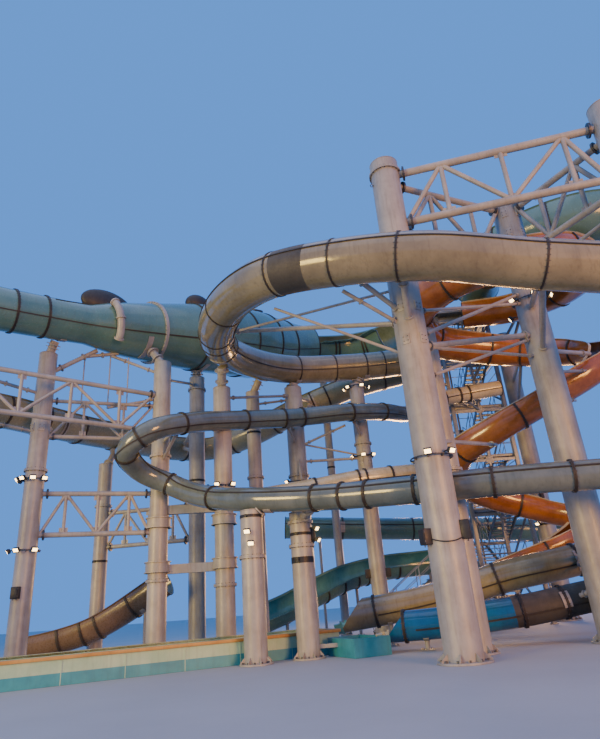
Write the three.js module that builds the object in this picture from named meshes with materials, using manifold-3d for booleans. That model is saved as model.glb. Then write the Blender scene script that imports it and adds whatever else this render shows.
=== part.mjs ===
// Water slide tower: white tube columns and trusses carrying closed and open flumes.
// Lengths in the tables are metres on the site plan; geometry is written in millimetres, Z up.
import * as THREE from "three";
import { mergeVertices } from "three/addons/utils/BufferGeometryUtils.js";
import Module from "manifold-3d";

const wasm = await Module();
wasm.setup();

const MM = 1000;
const SEAT = 0.3;             // clearance left where two pieces bear on each other, mm
const COLUMN_SIDES = 10;      // narrow columns take two fewer
const BAR_SIDES = 6;
const WEB_SIDES = 4;
const BASE_PLATE = 0.05;      // thickness, m
const COLLAR_HEIGHT = 0.09;
const COLLAR_LIP = 0.07;      // how far a flange collar stands out of its column
const BASE_SPREAD = 1.45;      // base plate radius over column radius
const FLANGE_HALF = 0.045;    // half width of the bolted rings on the flumes, m
const FLANGE_LIP = 0.06;

const up = new THREE.Vector3(0, 0, 1);
const at = (x, y, z) => new THREE.Vector3(x, y, z).multiplyScalar(MM);

function solidOf(geometry) {
  const bare = new THREE.BufferGeometry();
  bare.setAttribute("position", geometry.getAttribute("position").clone());
  if (geometry.index) bare.setIndex(geometry.index.clone());
  const merged = mergeVertices(bare, 1e-3);
  const verts = new Float32Array(merged.getAttribute("position").array);
  const tris = [];
  const idx = merged.index.array;
  let volume = 0;
  const corner = (k) => new THREE.Vector3(verts[3 * k], verts[3 * k + 1], verts[3 * k + 2]);
  for (let k = 0; k < idx.length; k += 3) {
    const [a, b, c] = [idx[k], idx[k + 1], idx[k + 2]];
    if (a === b || b === c || a === c) continue;
    tris.push(a, b, c);
    volume += corner(a).dot(corner(b).cross(corner(c)));
  }
  if (volume < 0) {
    for (let k = 0; k < tris.length; k += 3) [tris[k + 1], tris[k + 2]] = [tris[k + 2], tris[k + 1]];
  }
  return new wasm.Manifold(
    new wasm.Mesh({ numProp: 3, vertProperties: verts, triVerts: new Uint32Array(tris) }),
  );
}

const union = (solids) => solids.reduce((sum, one) => sum.add(one));
const without = (solid, cutters) => cutters.reduce((rest, one) => rest.subtract(one), solid);

function block(x0, x1, y0, y1, z0, z1) {
  const shape = new THREE.BoxGeometry((x1 - x0) * MM, (y1 - y0) * MM, (z1 - z0) * MM);
  shape.translate(((x0 + x1) / 2) * MM, ((y0 + y1) / 2) * MM, ((z0 + z1) / 2) * MM);
  return solidOf(shape);
}

// a straight tube between two points, given in metres
function bar(from, to, dia, sides = BAR_SIDES) {
  const a = at(...from);
  const b = at(...to);
  const shape = new THREE.CylinderGeometry((dia / 2) * MM, (dia / 2) * MM, a.distanceTo(b), sides);
  const along = b.clone().sub(a).normalize();
  shape.applyQuaternion(new THREE.Quaternion().setFromUnitVectors(new THREE.Vector3(0, 1, 0), along));
  const middle = a.add(b).multiplyScalar(0.5);
  shape.translate(middle.x, middle.y, middle.z);
  return solidOf(shape);
}

// a plank or box beam between two points, standing upright
function beam(from, to, width, height) {
  const a = at(...from);
  const b = at(...to);
  const shape = new THREE.BoxGeometry(a.distanceTo(b), width * MM, height * MM);
  const along = b.clone().sub(a).normalize();
  const side = up.clone().cross(along).normalize();
  const basis = new THREE.Matrix4().makeBasis(along, side, along.clone().cross(side));
  const middle = a.add(b).multiplyScalar(0.5);
  shape.applyMatrix4(basis.setPosition(middle));
  return solidOf(shape);
}

// round columns; top and collar heights are above the ground
const COLUMNS = {
  main: { x: 3.6, y: 16.06, dia: 1.0, top: 16.15, collars: [15.65] },
  mainRear: { x: 4.45, y: 17.9, dia: 0.8, top: 10.2, collars: [5.2] },
  rightInner: { x: 8.6, y: 18.3, dia: 1.0, top: 15.5, collars: [12.4] },
  rightOuter: { x: 10.9, y: 14.4, dia: 1.0, top: 16.4, collars: [9.0] },
  farRight: { x: 12.2, y: 30.5, dia: 0.914, top: 15.6, collars: [3.6] },
  leftOuter: { x: -13.0, y: 17.6, dia: 0.72, top: 11.9, collars: [7.6] },
  leftFront: { x: -10.6, y: 21.4, dia: 0.72, top: 12.2, collars: [7.15] },
  leftRear: { x: -9.9, y: 27.0, dia: 0.66, top: 8.7, collars: [6.6] },
  bayFront: { x: -6.2, y: 23.2, dia: 0.762, top: 12.2, collars: [7.8] },
  bayRear: { x: -5.3, y: 26.5, dia: 0.762, top: 12.7, collars: [12.0] },
  midLeft: { x: -3.6, y: 23.6, dia: 0.78, top: 10.9, collars: [2.53] },
  shortLeft: { x: -2.09, y: 19.88, dia: 0.76, top: 4.8, collars: [3.2] },
  shortRight: { x: -0.42, y: 20.54, dia: 0.76, top: 4.7, collars: [3.5, 4.3] },
  centreLeft: { x: -2.45, y: 26.0, dia: 0.66, top: 11.5, collars: [7.2] },
  centreBack: { x: -0.45, y: 26.9, dia: 0.88, top: 11.9, collars: [7.3] },
  back: { x: 2.9, y: 27.9, dia: 0.76, top: 12.2, collars: [8.9] },
  rearLeft: { x: 1.4, y: 32.95, dia: 0.46, top: 15.0, collars: [] },
  outerRight: { x: 15.3, y: 21.9, dia: 0.76, top: 15.5, collars: [8.0] },
};

function column({ x, y, dia, top, collars }, grow = 0) {
  const r = (dia / 2) * MM + grow;
  const lip = COLLAR_LIP * MM;
  const plate = BASE_PLATE * MM + grow;
  const profile = [[0, 0], [r * BASE_SPREAD, 0], [r * BASE_SPREAD, plate], [r, plate]];
  for (const z of [...collars].sort((a, b) => a - b)) {
    const low = z * MM - grow;
    const high = (z + COLLAR_HEIGHT) * MM + grow;
    profile.push([r, low], [r + lip, low], [r + lip, high], [r, high]);
  }
  profile.push([r, top * MM + grow], [0, top * MM + grow]);
  const sides = dia > 0.8 ? COLUMN_SIDES : COLUMN_SIDES - 2;
  const shape = new THREE.LatheGeometry(profile.map(([u, v]) => new THREE.Vector2(u, v)), sides);
  shape.rotateX(Math.PI / 2);
  shape.translate(x * MM, y * MM, 0);
  return solidOf(shape);
}

const columnCutters = Object.fromEntries(
  Object.entries(COLUMNS).map(([key, spec]) => [key, column(spec, SEAT)]),
);

// A flume follows a smooth path. Its section is a ring, or a bottom arc when it is open.
class Flume {
  constructor({ path, radius, wall = 0.05, step, sides, opening = 0, roll = 0 }) {
    this.curve = new THREE.CatmullRomCurve3(path.map((p) => at(...p)), false, "centripetal");
    this.curve.arcLengthDivisions = 1200;
    this.length = this.curve.getLength();
    this.count = Math.max(2, Math.round(this.length / (step * MM)));
    this.radii = Array.isArray(radius) ? radius : path.map(() => radius);
    this.wall = wall * MM;
    this.sides = sides;
    this.opening = opening;         // angle left open at the top, degrees
    this.roll = THREE.MathUtils.degToRad(roll);   // turns the opening towards the left of the run
  }

  radiusAt(t) {
    const place = this.curve.getUtoTmapping(t) * (this.radii.length - 1);
    const low = Math.min(Math.floor(place), this.radii.length - 2);
    return THREE.MathUtils.lerp(this.radii[low], this.radii[low + 1], place - low) * MM;
  }

  frame(t) {
    const point = this.curve.getPointAt(t);
    const along = this.curve.getTangentAt(t);
    const side = along.clone().cross(up).normalize();
    return { point, side, lift: side.clone().cross(along).normalize() };
  }

  loop(t, radius) {
    const { point, side, lift } = this.frame(t);
    const half = THREE.MathUtils.degToRad(this.opening / 2);
    const span = 2 * (Math.PI - half);
    const total = this.opening > 0 ? this.sides + 1 : this.sides;
    return Array.from({ length: total }, (_, k) => {
      const angle = Math.PI / 2 + this.roll + half + (span * k) / this.sides;
      return point.clone()
        .addScaledVector(side, Math.cos(angle) * radius)
        .addScaledVector(lift, Math.sin(angle) * radius);
    });
  }

  // stations of a run, with the steps of its end flanges and of the rings between them
  spots(from, to, rings, lip, grow) {
    const reach = (FLANGE_HALF * MM + grow) / this.length;
    const slack = SEAT / 2 / this.length;
    const start = from === 0 ? 0 : from / this.count + slack;
    const end = to === this.count ? 1 : to / this.count - slack;
    const list = [[start, lip], [start + reach, lip], [start + reach, 0]];
    for (let k = from + 1; k < to; k += 1) {
      const t = k / this.count;
      if (rings.includes(k)) list.push([t - reach, 0], [t - reach, lip], [t + reach, lip], [t + reach, 0]);
      else list.push([t, 0]);
    }
    list.push([end - reach, 0], [end - reach, lip], [end, lip]);
    return list;
  }

  // grow > 0 gives the filled body that other pieces are coped to
  run(from, to, rings = [], grow = 0) {
    const lip = FLANGE_LIP * MM;
    const outerSpots = this.spots(from, to, rings, lip, grow)
      .map(([t, rise]) => this.loop(t, this.radiusAt(t) + rise + grow));
    if (grow > 0) {
      const slide = (loop, t, by) => loop.forEach((p) => p.addScaledVector(this.curve.getTangentAt(t), by));
      slide(outerSpots[0], 0, -grow);
      slide(outerSpots[outerSpots.length - 1], 1, grow);
      return this.skin(outerSpots, null);
    }
    let innerSpots = this.spots(from, to, rings, 0, 0);
    if (this.opening === 0) {
      innerSpots = innerSpots.filter((_, k) => k === 0 || k === innerSpots.length - 1);
      for (let k = to - 1; k > from; k -= 1) innerSpots.splice(1, 0, [k / this.count, 0]);
    }
    return this.skin(outerSpots, innerSpots.map(([t]) => this.loop(t, this.radiusAt(t) - this.wall)));
  }

  skin(outerLoops, innerLoops) {
    const points = [];
    const tris = [];
    const quad = (a, b, c, d) => tris.push(a, b, c, a, c, d);
    const number = (loops) => loops.map((loop) => loop.map((p) => points.push(p) - 1));
    const outer = number(outerLoops);
    const inner = innerLoops && number(innerLoops);
    const n = outer[0].length;
    const closed = this.opening === 0;
    const edges = closed ? n : n - 1;
    const next = (i) => (i + 1) % n;
    const wrap = (rings, inward) => {
      for (let j = 0; j + 1 < rings.length; j += 1) {
        for (let i = 0; i < edges; i += 1) {
          const [a, b, c, d] = [rings[j][i], rings[j][next(i)], rings[j + 1][next(i)], rings[j + 1][i]];
          if (inward) quad(a, d, c, b);
          else quad(a, b, c, d);
        }
      }
    };
    wrap(outer, false);
    const [first, last] = [outer[0], outer[outer.length - 1]];
    if (inner) {
      wrap(inner, true);
      const [firstIn, lastIn] = [inner[0], inner[inner.length - 1]];
      for (let i = 0; i < edges; i += 1) {
        quad(first[i], firstIn[i], firstIn[next(i)], first[next(i)]);
        quad(last[i], last[next(i)], lastIn[next(i)], lastIn[i]);
      }
      for (let j = 0; !closed && j + 1 < outer.length; j += 1) {
        quad(outer[j][0], outer[j + 1][0], inner[j + 1][0], inner[j][0]);
        quad(outer[j][n - 1], inner[j][n - 1], inner[j + 1][n - 1], outer[j + 1][n - 1]);
      }
    } else {
      for (let j = 0; !closed && j + 1 < outer.length; j += 1) {
        quad(outer[j][n - 1], outer[j][0], outer[j + 1][0], outer[j + 1][n - 1]);
      }
      for (let i = 1; i + 1 < n; i += 1) {
        tris.push(first[0], first[i + 1], first[i], last[0], last[i], last[i + 1]);
      }
    }
    const shape = new THREE.BufferGeometry();
    const flat = new Float32Array(points.flatMap((p) => [p.x, p.y, p.z]));
    shape.setAttribute("position", new THREE.BufferAttribute(flat, 3));
    shape.setIndex(tris);
    return solidOf(shape);
  }
}

// the copper flume narrows on its way down
const SPIRAL_RADII = [
  0.8, 0.85, ...Array(8).fill(0.9), 0.85, 0.8, 0.75, 0.7, ...Array(11).fill(0.66),
];

const FLUMES = {
  // closed smoke-grey flume: back run, turn at the left, front run falling to the right
  big: new Flume({
    radius: 0.75, step: 1.9, sides: 10,
    path: [
      [7.3, 28.4, 13.75], [4.8, 28.2, 13.4], [2.1, 27.7, 13.15], [-0.45, 26.75, 12.9],
      [-2.2, 24.9, 12.6], [-3.3, 22.4, 12.3], [-3.2, 19.9, 12.0], [-2.27, 17.44, 11.8],
      [-0.81, 15.66, 11.55], [1.23, 14.52, 11.15], [3.83, 13.67, 10.6], [6.55, 13.3, 9.85],
      [9.3, 13.0, 9.2], [11.9, 12.9, 8.6], [14.2, 13.9, 8.0],
    ],
  }),
  // raft flume: narrow tube at the left, long cone, elbow, then the open trough behind
  raft: new Flume({
    radius: [0.9, 0.9, 0.9, 0.9, 1.22, 1.58, 1.82, 2.0, 1.8, 1.5, 1.4], step: 1.75, sides: 12, wall: 0.06,
    path: [
      [-13.6, 17.35, 13.1], [-11.45, 19.5, 13.35], [-10.33, 20.6, 13.5], [-9.25, 21.65, 13.65],
      [-8.3, 22.7, 13.9], [-6.5, 24.65, 14.4], [-5.08, 26.2, 14.85], [-2.75, 29.0, 15.6],
      [-1.5, 30.5, 16.0], [-0.2, 31.6, 16.35], [0.6, 32.1, 16.5],
    ],
  }),
  raftTrough: new Flume({
    radius: 1.4, step: 1.5, sides: 8, opening: 130, roll: -35, wall: 0.06,
    path: [
      [0.62, 32.112, 16.504], [1.42, 32.6, 16.65], [3.2, 33.1, 16.85], [4.7, 32.8, 16.95],
      [5.7, 32.0, 17.05],
    ],
  }),
  tealTrough: new Flume({
    radius: 1.35, step: 1.75, sides: 8, opening: 130, wall: 0.06,
    path: [
      [10.3, 27.85, 17.7], [10.15, 26.0, 17.68], [11.2, 23.7, 17.6], [13.4, 22.1, 17.5],
      [16.0, 21.8, 17.3],
    ],
  }),
  // closed dark-teal body flume: from the tower leftwards, curl at the far left, back to the right
  body: new Flume({
    radius: 0.45, step: 1.75, sides: 8, wall: 0.04,
    path: [
      [7.4, 30.4, 11.6], [5.6, 29.0, 10.75], [4.1, 27.3, 10.4], [2.2, 26.0, 10.1],
      [-0.17, 25.1, 9.75], [-2.6, 23.8, 9.4], [-4.6, 21.9, 8.85], [-5.9, 20.7, 8.25],
      [-6.9, 20.9, 7.6], [-6.7, 21.9, 7.05], [-5.6, 22.4, 6.5], [-4.2, 21.7, 5.8],
      [-2.1, 20.0, 5.2], [-0.4, 19.3, 4.98], [1.2, 18.4, 4.8], [2.7, 17.6, 4.68], [4.05, 17.03, 4.61],
      [5.5, 16.5, 4.55], [7.6, 16.0, 4.46], [10.4, 15.4, 4.32], [13.4, 14.9, 4.2],
    ],
  }),
  // closed flume that leaves the tower behind the front columns
  middle: new Flume({
    radius: 0.45, step: 1.9, sides: 8, wall: 0.04,
    path: [
      [7.2, 28.0, 7.38], [6.0, 27.0, 7.13], [5.0, 26.3, 6.96], [3.5, 25.8, 6.82], [2.0, 25.5, 6.68],
      [0.6, 25.3, 6.47], [-1.0, 25.0, 6.25], [-2.6, 24.6, 6.0],
    ],
  }),
  pale: new Flume({
    radius: 0.42, step: 2.2, sides: 8, wall: 0.04,
    path: [[10.4, 27.85, 11.4], [8.2, 27.8, 11.15], [6.0, 27.2, 10.7]],
  }),
  // open copper flume spiralling down the right-hand bay
  spiral: new Flume({
    radius: SPIRAL_RADII, step: 1.6, sides: 6, opening: 120,
    path: [
      [9.2, 27.6, 15.75], [11.6, 26.7, 15.5], [13.3, 24.6, 15.25], [13.3, 22.2, 15.0],
      [11.6, 20.5, 14.75], [9.2, 20.3, 14.5], [6.7, 21.4, 14.2], [5.6, 23.5, 13.9],
      [6.6, 25.7, 13.6], [9.4, 26.5, 13.2], [11.7, 26.0, 12.6], [13.2, 24.2, 11.7],
      [13.2, 22.2, 10.7], [11.9, 21.4, 9.7], [9.8, 21.7, 8.65], [7.9, 22.3, 7.8],
      [6.5, 23.6, 7.1], [6.6, 25.2, 6.4], [8.3, 26.4, 5.7], [10.6, 26.3, 4.9],
      [11.9, 25.3, 4.2], [10.4, 24.7, 3.3], [8.2, 24.9, 2.6], [5.6, 25.3, 1.8],
      [3.0, 25.6, 1.3],
    ],
  }),
  leftTrough: new Flume({
    radius: 0.8, step: 2.1, sides: 6, opening: 120,
    path: [
      [6.9, 31.2, 14.2], [3.2, 31.0, 13.4], [-0.1, 31.2, 12.3], [-3.2, 32.4, 11.3],
      [-5.6, 33.0, 10.85], [-7.6, 31.6, 10.62], [-8.9, 29.6, 10.5], [-9.95, 27.6, 10.4],
      [-10.85, 25.9, 10.3], [-11.6, 24.0, 10.15], [-12.3, 22.0, 10.0], [-13.1, 20.4, 9.85],
    ],
  }),
  lowBack: new Flume({
    radius: 0.65, step: 3.2, sides: 8,
    path: [[-1.6, 34.1, 5.9], [4.5, 34.25, 5.4], [10.6, 34.3, 4.95], [15.2, 34.1, 4.4]],
  }),
  lowOpen: new Flume({
    radius: 0.7, step: 1.9, sides: 6, opening: 130, roll: 35,
    path: [
      [7.3, 32.7, 3.35], [5.6, 32.6, 3.3], [3.8, 32.2, 3.2], [1.6, 31.4, 2.8],
      [0.0, 30.5, 2.2], [-1.4, 29.7, 1.6], [-2.7, 29.1, 1.15],
    ],
  }),
  greyRunout: new Flume({
    radius: 0.58, step: 2.7, sides: 8, wall: 0.04,
    path: [
      [12.3, 21.5, 3.1], [9.33, 21.7, 2.43], [7.07, 22.1, 2.1], [4.37, 22.9, 1.5], [0.9, 23.62, 1.08],
    ],
  }),
  blueRunout: new Flume({
    radius: 0.5, step: 2.7, sides: 8, wall: 0.04,
    path: [
      [10.6, 19.6, 1.5], [8.22, 19.5, 1.2], [6.57, 19.7, 0.98], [3.91, 20.3, 0.78], [2.2, 20.75, 0.74],
    ],
  }),
  tan: new Flume({
    radius: 0.65, step: 1.4, sides: 6, opening: 130,
    path: [
      [-6.4, 25.2, 3.0], [-8.36, 25.5, 1.95], [-9.59, 25.5, 1.42], [-10.78, 25.4, 1.13], [-12.3, 25.1, 0.9],
    ],
  }),
};

// chords and web of bars between two column faces; splits are the shares where panels meet
function truss(from, to, low, high, { splits, fallsFirst = false, chord = 0.27, web = 0.17 }) {
  const spot = (f, z) => [
    THREE.MathUtils.lerp(from[0], to[0], f), THREE.MathUtils.lerp(from[1], to[1], f), z,
  ];
  const parts = [bar(spot(0, low), spot(1, low), chord), bar(spot(0, high), spot(1, high), chord)];
  const stops = [0, ...splits, 1];
  for (let k = 0; k + 1 < stops.length; k += 1) {
    const rising = (k % 2 === 0) !== fallsFirst;
    const [za, zb] = rising ? [low, high] : [high, low];
    parts.push(bar(spot(stops[k], za), spot(stops[k + 1], zb), web, WEB_SIDES));
    if (k > 0) parts.push(bar(spot(stops[k], low), spot(stops[k], high), web, WEB_SIDES));
  }
  return union(parts);
}

const C = COLUMNS;
const planOf = (c) => [c.x, c.y];

function columnTruss(a, b, low, high, options) {
  const whole = truss(planOf(C[a]), planOf(C[b]), low, high, options);
  return without(whole, [columnCutters[a], columnCutters[b]]);
}

// stair tower with six floors
const TOWER = { x0: 7.95, x1: 10.75, y0: 28.6, y1: 32.8, floor: 2.7, floors: 6, leg: 0.2 };
const LANDING = 0.95;        // depth of each landing, m
const SLAB = 0.12;
const FLIGHT_RISERS = 8;
const FLIGHT_DEPTH = 0.1;    // plate left under the treads, m

function towerSide(x) {
  const top = TOWER.floor * TOWER.floors;
  const parts = [];
  for (const y of [TOWER.y0, TOWER.y1]) {
    parts.push(block(x - TOWER.leg / 2, x + TOWER.leg / 2, y - TOWER.leg / 2, y + TOWER.leg / 2, 0, top));
  }
  for (let k = 1; k <= TOWER.floors; k += 1) {
    const z = k * TOWER.floor;
    parts.push(beam([x, TOWER.y0, z - 0.1], [x, TOWER.y1, z - 0.1], 0.1, 0.16));
    const [ya, yb] = k % 2 ? [TOWER.y0, TOWER.y1] : [TOWER.y1, TOWER.y0];
    parts.push(beam([x, ya, z - TOWER.floor + 0.1], [x, yb, z - 0.15], 0.08, 0.1));
  }
  return union(parts);
}

function towerEnd(y) {
  const inset = TOWER.leg / 2 + SEAT / MM;
  const [xa, xb] = [TOWER.x0 + inset, TOWER.x1 - inset];
  const middle = (xa + xb) / 2;
  const top = TOWER.floor * TOWER.floors;
  const parts = [block(middle - 0.05, middle + 0.05, y - 0.05, y + 0.05, TOWER.floor - 0.4, top)];
  for (let k = 1; k <= TOWER.floors; k += 1) {
    parts.push(beam([xa, y, k * TOWER.floor - 0.3], [xb, y, k * TOWER.floor - 0.3], 0.1, 0.14));
  }
  return union(parts);
}

function flight(x0, x1, yLow, yHigh, z0, z1, risers = FLIGHT_RISERS) {
  const run = (yHigh - yLow) / risers;
  const rise = (z1 - z0) / risers;
  const outline = [[yLow, Math.max(z0 - FLIGHT_DEPTH, 0)]];
  for (let k = 0; k < risers; k += 1) {
    outline.push([yLow + k * run, z0 + (k + 1) * rise], [yLow + (k + 1) * run, z0 + (k + 1) * rise]);
  }
  outline.push([yHigh, z1 - FLIGHT_DEPTH]);
  const shape = new THREE.Shape(outline.map(([y, z]) => new THREE.Vector2(y * MM, z * MM)));
  const solid = new THREE.ExtrudeGeometry(shape, { depth: (x1 - x0) * MM, bevelEnabled: false });
  solid.applyMatrix4(new THREE.Matrix4().makeBasis(
    new THREE.Vector3(0, 1, 0), new THREE.Vector3(0, 0, 1), new THREE.Vector3(1, 0, 0),
  ));
  solid.translate(x0 * MM, 0, 0);
  return solidOf(solid);
}

// the flights and landings of some floors; the upper stair starts against the lower one's landing
function staircase(fromFloor, toFloor) {
  const inner = TOWER.leg / 2 + SEAT / MM;
  const [xa, xb] = [TOWER.x0 + inner, TOWER.x1 - inner];
  const middle = (TOWER.x0 + TOWER.x1) / 2;
  const front = TOWER.y0 + LANDING;
  const rear = TOWER.y1 - LANDING;
  const lap = 0.02;
  const parts = [];
  for (let k = fromFloor; k < toFloor; k += 1) {
    const z = k * TOWER.floor;
    const foot = k > 0 && k === fromFloor ? front + SEAT / MM : front - lap;
    const half = z + TOWER.floor / 2;
    const next = z + TOWER.floor;
    parts.push(flight(xa, middle - 0.05, foot, rear + lap, z, half));
    parts.push(block(xa, xb, rear, TOWER.y1 - inner, half - SLAB, half));
    parts.push(flight(middle + 0.05, xb, rear + lap, front - lap, half, next));
    const slabTop = k === TOWER.floors - 1 ? next - 0.02 : next;
    parts.push(block(xa, xb, TOWER.y0 + inner, front, next - SLAB, slabTop));
  }
  return union(parts);
}

// stair from the ground to a landing against the tower's first floor
const ACCESS = { x0: 2.55, x1: 6.1, y0: 28.5, y1: 29.5, risers: 15, post: 0.1, foot: 0.3 };

function accessStair() {
  const { x0, x1, y0, y1, risers, post, foot } = ACCESS;
  const end = TOWER.x0 - TOWER.leg / 2 - SEAT / MM;
  const lap = 0.02;
  const top = TOWER.floor;
  const parts = [
    flight(-y1, -y0, x0, x1, 0, top, risers).rotate([0, 0, -90]),
    block(x1 - lap, end, y0, y1, top - SLAB, top),
  ];
  for (const x of [x1 + post, end - 2 * post]) {
    for (const y of [y0 + post, y1 - post]) {
      parts.push(bar([x, y, 0], [x, y, top - SLAB / 2], post));
      parts.push(block(x - foot / 2, x + foot / 2, y - foot / 2, y + foot / 2, 0, 0.03));
    }
  }
  return union(parts);
}

const DECK = { x0: 6.65, x1: 11.5, y0: 28.1, y1: 33.3, top: TOWER.floor * TOWER.floors + SLAB + SEAT / MM };
const RAIL = 0.05;

function startDeck() {
  const { x0, x1, y0, y1, top } = DECK;
  const slab = block(x0, x1, y0, y1, top - SLAB, top);
  const well = block(
    TOWER.x0 + 0.25, TOWER.x1 - 0.25, TOWER.y0 + LANDING, TOWER.y1 - 0.3, top - 1, top + 1,
  );
  const parts = [slab.subtract(well)];
  const edge = RAIL;
  const [xa, xb, ya, yb] = [x0 + edge, x1 - edge, y0 + edge, y1 - edge];
  for (const [x, y] of [[xb, ya], [xb, (ya + yb) / 2], [xb, yb], [(xa + xb) / 2, yb]]) {
    parts.push(bar([x, y, top - 0.02], [x, y, top + 1.1], 0.07));
  }
  for (const dz of [0.55, 1.08]) {
    parts.push(beam([xb, ya, top + dz], [xb, yb, top + dz], RAIL, RAIL));
    parts.push(beam([(xa + xb) / 2, yb, top + dz], [xb, yb, top + dz], RAIL, RAIL));
  }
  const [xm, zm] = [10.3, top - SLAB / 2];
  parts.push(bar([xm, y0 + 0.1, zm], [xm, y0 - 0.9, zm + 0.03], 0.12));
  return union(parts).subtract(FLUMES.tealTrough.run(0, FLUMES.tealTrough.count, [], SEAT));
}

// run-out channel beside the pool edge, turned on plan
const CHANNEL = {
  x: -11.42, y: 17.93, length: 12.6, width: 2.6, height: 0.78, wall: 0.12, floor: 0.14, angle: 23.5,
};
const BASIN = { x: 0.62, y: 20.25, length: 1.3, width: 2.0, height: 0.55 };

const placed = (solid, { x, y }) => solid.rotate([0, 0, CHANNEL.angle]).translate([x * MM, y * MM, 0]);
const RIM = 0.06;            // how far the channel's rim stands out, m

function channelBody(grow = 0) {
  const { length, width, height } = CHANNEL;
  const g = grow / MM;
  const body = block(-g, length + g, -width / 2 - g, width / 2 + g, 0, height + g);
  const out = RIM + g;
  const rim = block(-out, length + out, -width / 2 - out, width / 2 + out, height - 0.1 - g, height + g);
  return placed(body.add(rim), CHANNEL);
}

function basinBody(grow = 0) {
  const { length, width, height } = BASIN;
  const g = grow / MM;
  return placed(block(-g, length + g, -width / 2 - g, width / 2 + g, 0, height + g), BASIN);
}

function room({ length, width, height, x, y }) {
  const { wall, floor } = CHANNEL;
  const half = width / 2 - wall;
  return placed(block(wall, length - wall, -half, half, floor, height + 1), { x, y });
}

// supports: the station of a flume nearest a point
const nearest = (flume, x, y, z = null) => {
  let best = 0;
  let gap = Infinity;
  for (let k = 0; k <= flume.count; k += 1) {
    const p = flume.curve.getPointAt(k / flume.count);
    const rise = z === null ? 0 : p.z - z * MM;
    const d = Math.hypot(p.x - x * MM, p.y - y * MM, rise);
    if (d < gap) [best, gap] = [k, d];
  }
  return best;
};
const centreOf = (flume, station) =>
  flume.curve.getPointAt(station / flume.count).divideScalar(MM).toArray();

// bars to the ring of a flume near x, y, z; the heights are where they leave their column
const armTo = (flume, x, y, z, heights, dia = 0.17) => ({ flume, x, y, z, heights, dia });
const ARMS = {
  main: [
    armTo("big", 3.83, 13.67, 10.6, [10.9, 9.4], 0.2),
    armTo("big", -2.27, 17.44, 11.8, [11.8]),
    armTo("big", 1.23, 14.52, 11.15, [9.9, 11.3]),
    armTo("big", -3.2, 19.9, 12.0, [9.7]),
  ],
  rightInner: [
    armTo("big", 6.55, 13.3, 9.85, [11.0, 9.2], 0.2),
    armTo("spiral", 9.2, 20.3, 14.5, [14.0, 12.8]),
    armTo("spiral", 9.8, 21.7, 8.65, [8.0, 6.8]),
    armTo("greyRunout", 9.33, 21.7, 2.43, [2.6, 1.6], 0.14),
    armTo("blueRunout", 8.22, 19.5, 1.2, [1.5], 0.14),
  ],
  rightOuter: [
    armTo("big", 9.3, 13.0, 9.2, [9.4, 8.2], 0.2),
    armTo("big", 13.0, 13.2, 8.3, [8.4, 7.2], 0.2),
    armTo("body", 10.4, 15.4, 4.32, [4.3, 3.5], 0.14),
  ],
  mainRear: [armTo("body", 4.05, 17.03, 4.61, [4.61], 0.14)],
  shortLeft: [armTo("body", -2.1, 20.0, 5.2, [4.5], 0.36)],
  shortRight: [armTo("body", -0.4, 19.3, 4.98, [4.4], 0.3)],
  farRight: [
    armTo("spiral", 11.7, 26.0, 12.6, [12.5, 11.0]),
    armTo("spiral", 11.6, 26.7, 15.5, [15.2, 13.9]),
  ],
  outerRight: [armTo("tealTrough", 15.3, 21.9, 17.3, [15.4], 0.4)],
  rearLeft: [
    armTo("raftTrough", 1.6, 32.6, 16.7, [14.9], 0.3),
    armTo("lowBack", 1.4, 34.2, 5.65, [5.7], 0.16),
    armTo("lowOpen", 1.6, 31.4, 2.8, [2.9], 0.14),
  ],
  leftRear: [
    armTo("tan", -9.59, 25.5, 1.42, [1.6], 0.14),
    armTo("leftTrough", -9.95, 27.6, 10.4, [8.5], 0.32),
  ],
  leftOuter: [armTo("raft", -13.0, 17.9, 13.2, [11.8], 0.36)],
  leftFront: [
    armTo("raft", -10.33, 20.6, 13.5, [12.1], 0.36),
    armTo("leftTrough", -11.6, 24.0, 10.15, [9.6, 8.3], 0.16),
  ],
  bayFront: [
    armTo("raft", -7.0, 24.0, 14.3, [12.1], 0.36),
    armTo("body", -5.4, 21.2, 8.5, [8.4, 7.5], 0.14),
  ],
  bayRear: [
    armTo("raft", -5.08, 26.2, 14.9, [12.6], 0.4),
    armTo("leftTrough", -7.6, 31.6, 10.62, [10.4, 8.8], 0.18),
  ],
  midLeft: [
    armTo("big", -3.4, 22.4, 12.3, [10.8], 0.4),
    armTo("body", -3.5, 23.1, 9.15, [8.6], 0.16),
  ],
  centreLeft: [
    armTo("big", -2.1, 25.1, 12.6, [11.4], 0.36),
    armTo("middle", -2.0, 24.75, 6.1, [5.9, 5.2], 0.14),
  ],
  centreBack: [
    armTo("big", -0.45, 26.75, 12.9, [11.8], 0.45),
    armTo("leftTrough", -0.1, 31.2, 12.3, [11.4, 10.0], 0.18),
    armTo("body", -0.2, 25.1, 9.75, [9.6, 8.8], 0.14),
  ],
  back: [
    armTo("big", 2.6, 27.8, 13.2, [12.1], 0.4),
    armTo("body", 2.6, 26.2, 10.15, [10.0, 9.2], 0.14),
    armTo("middle", 2.6, 25.6, 6.75, [6.6, 5.8], 0.14),
  ],
};

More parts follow.
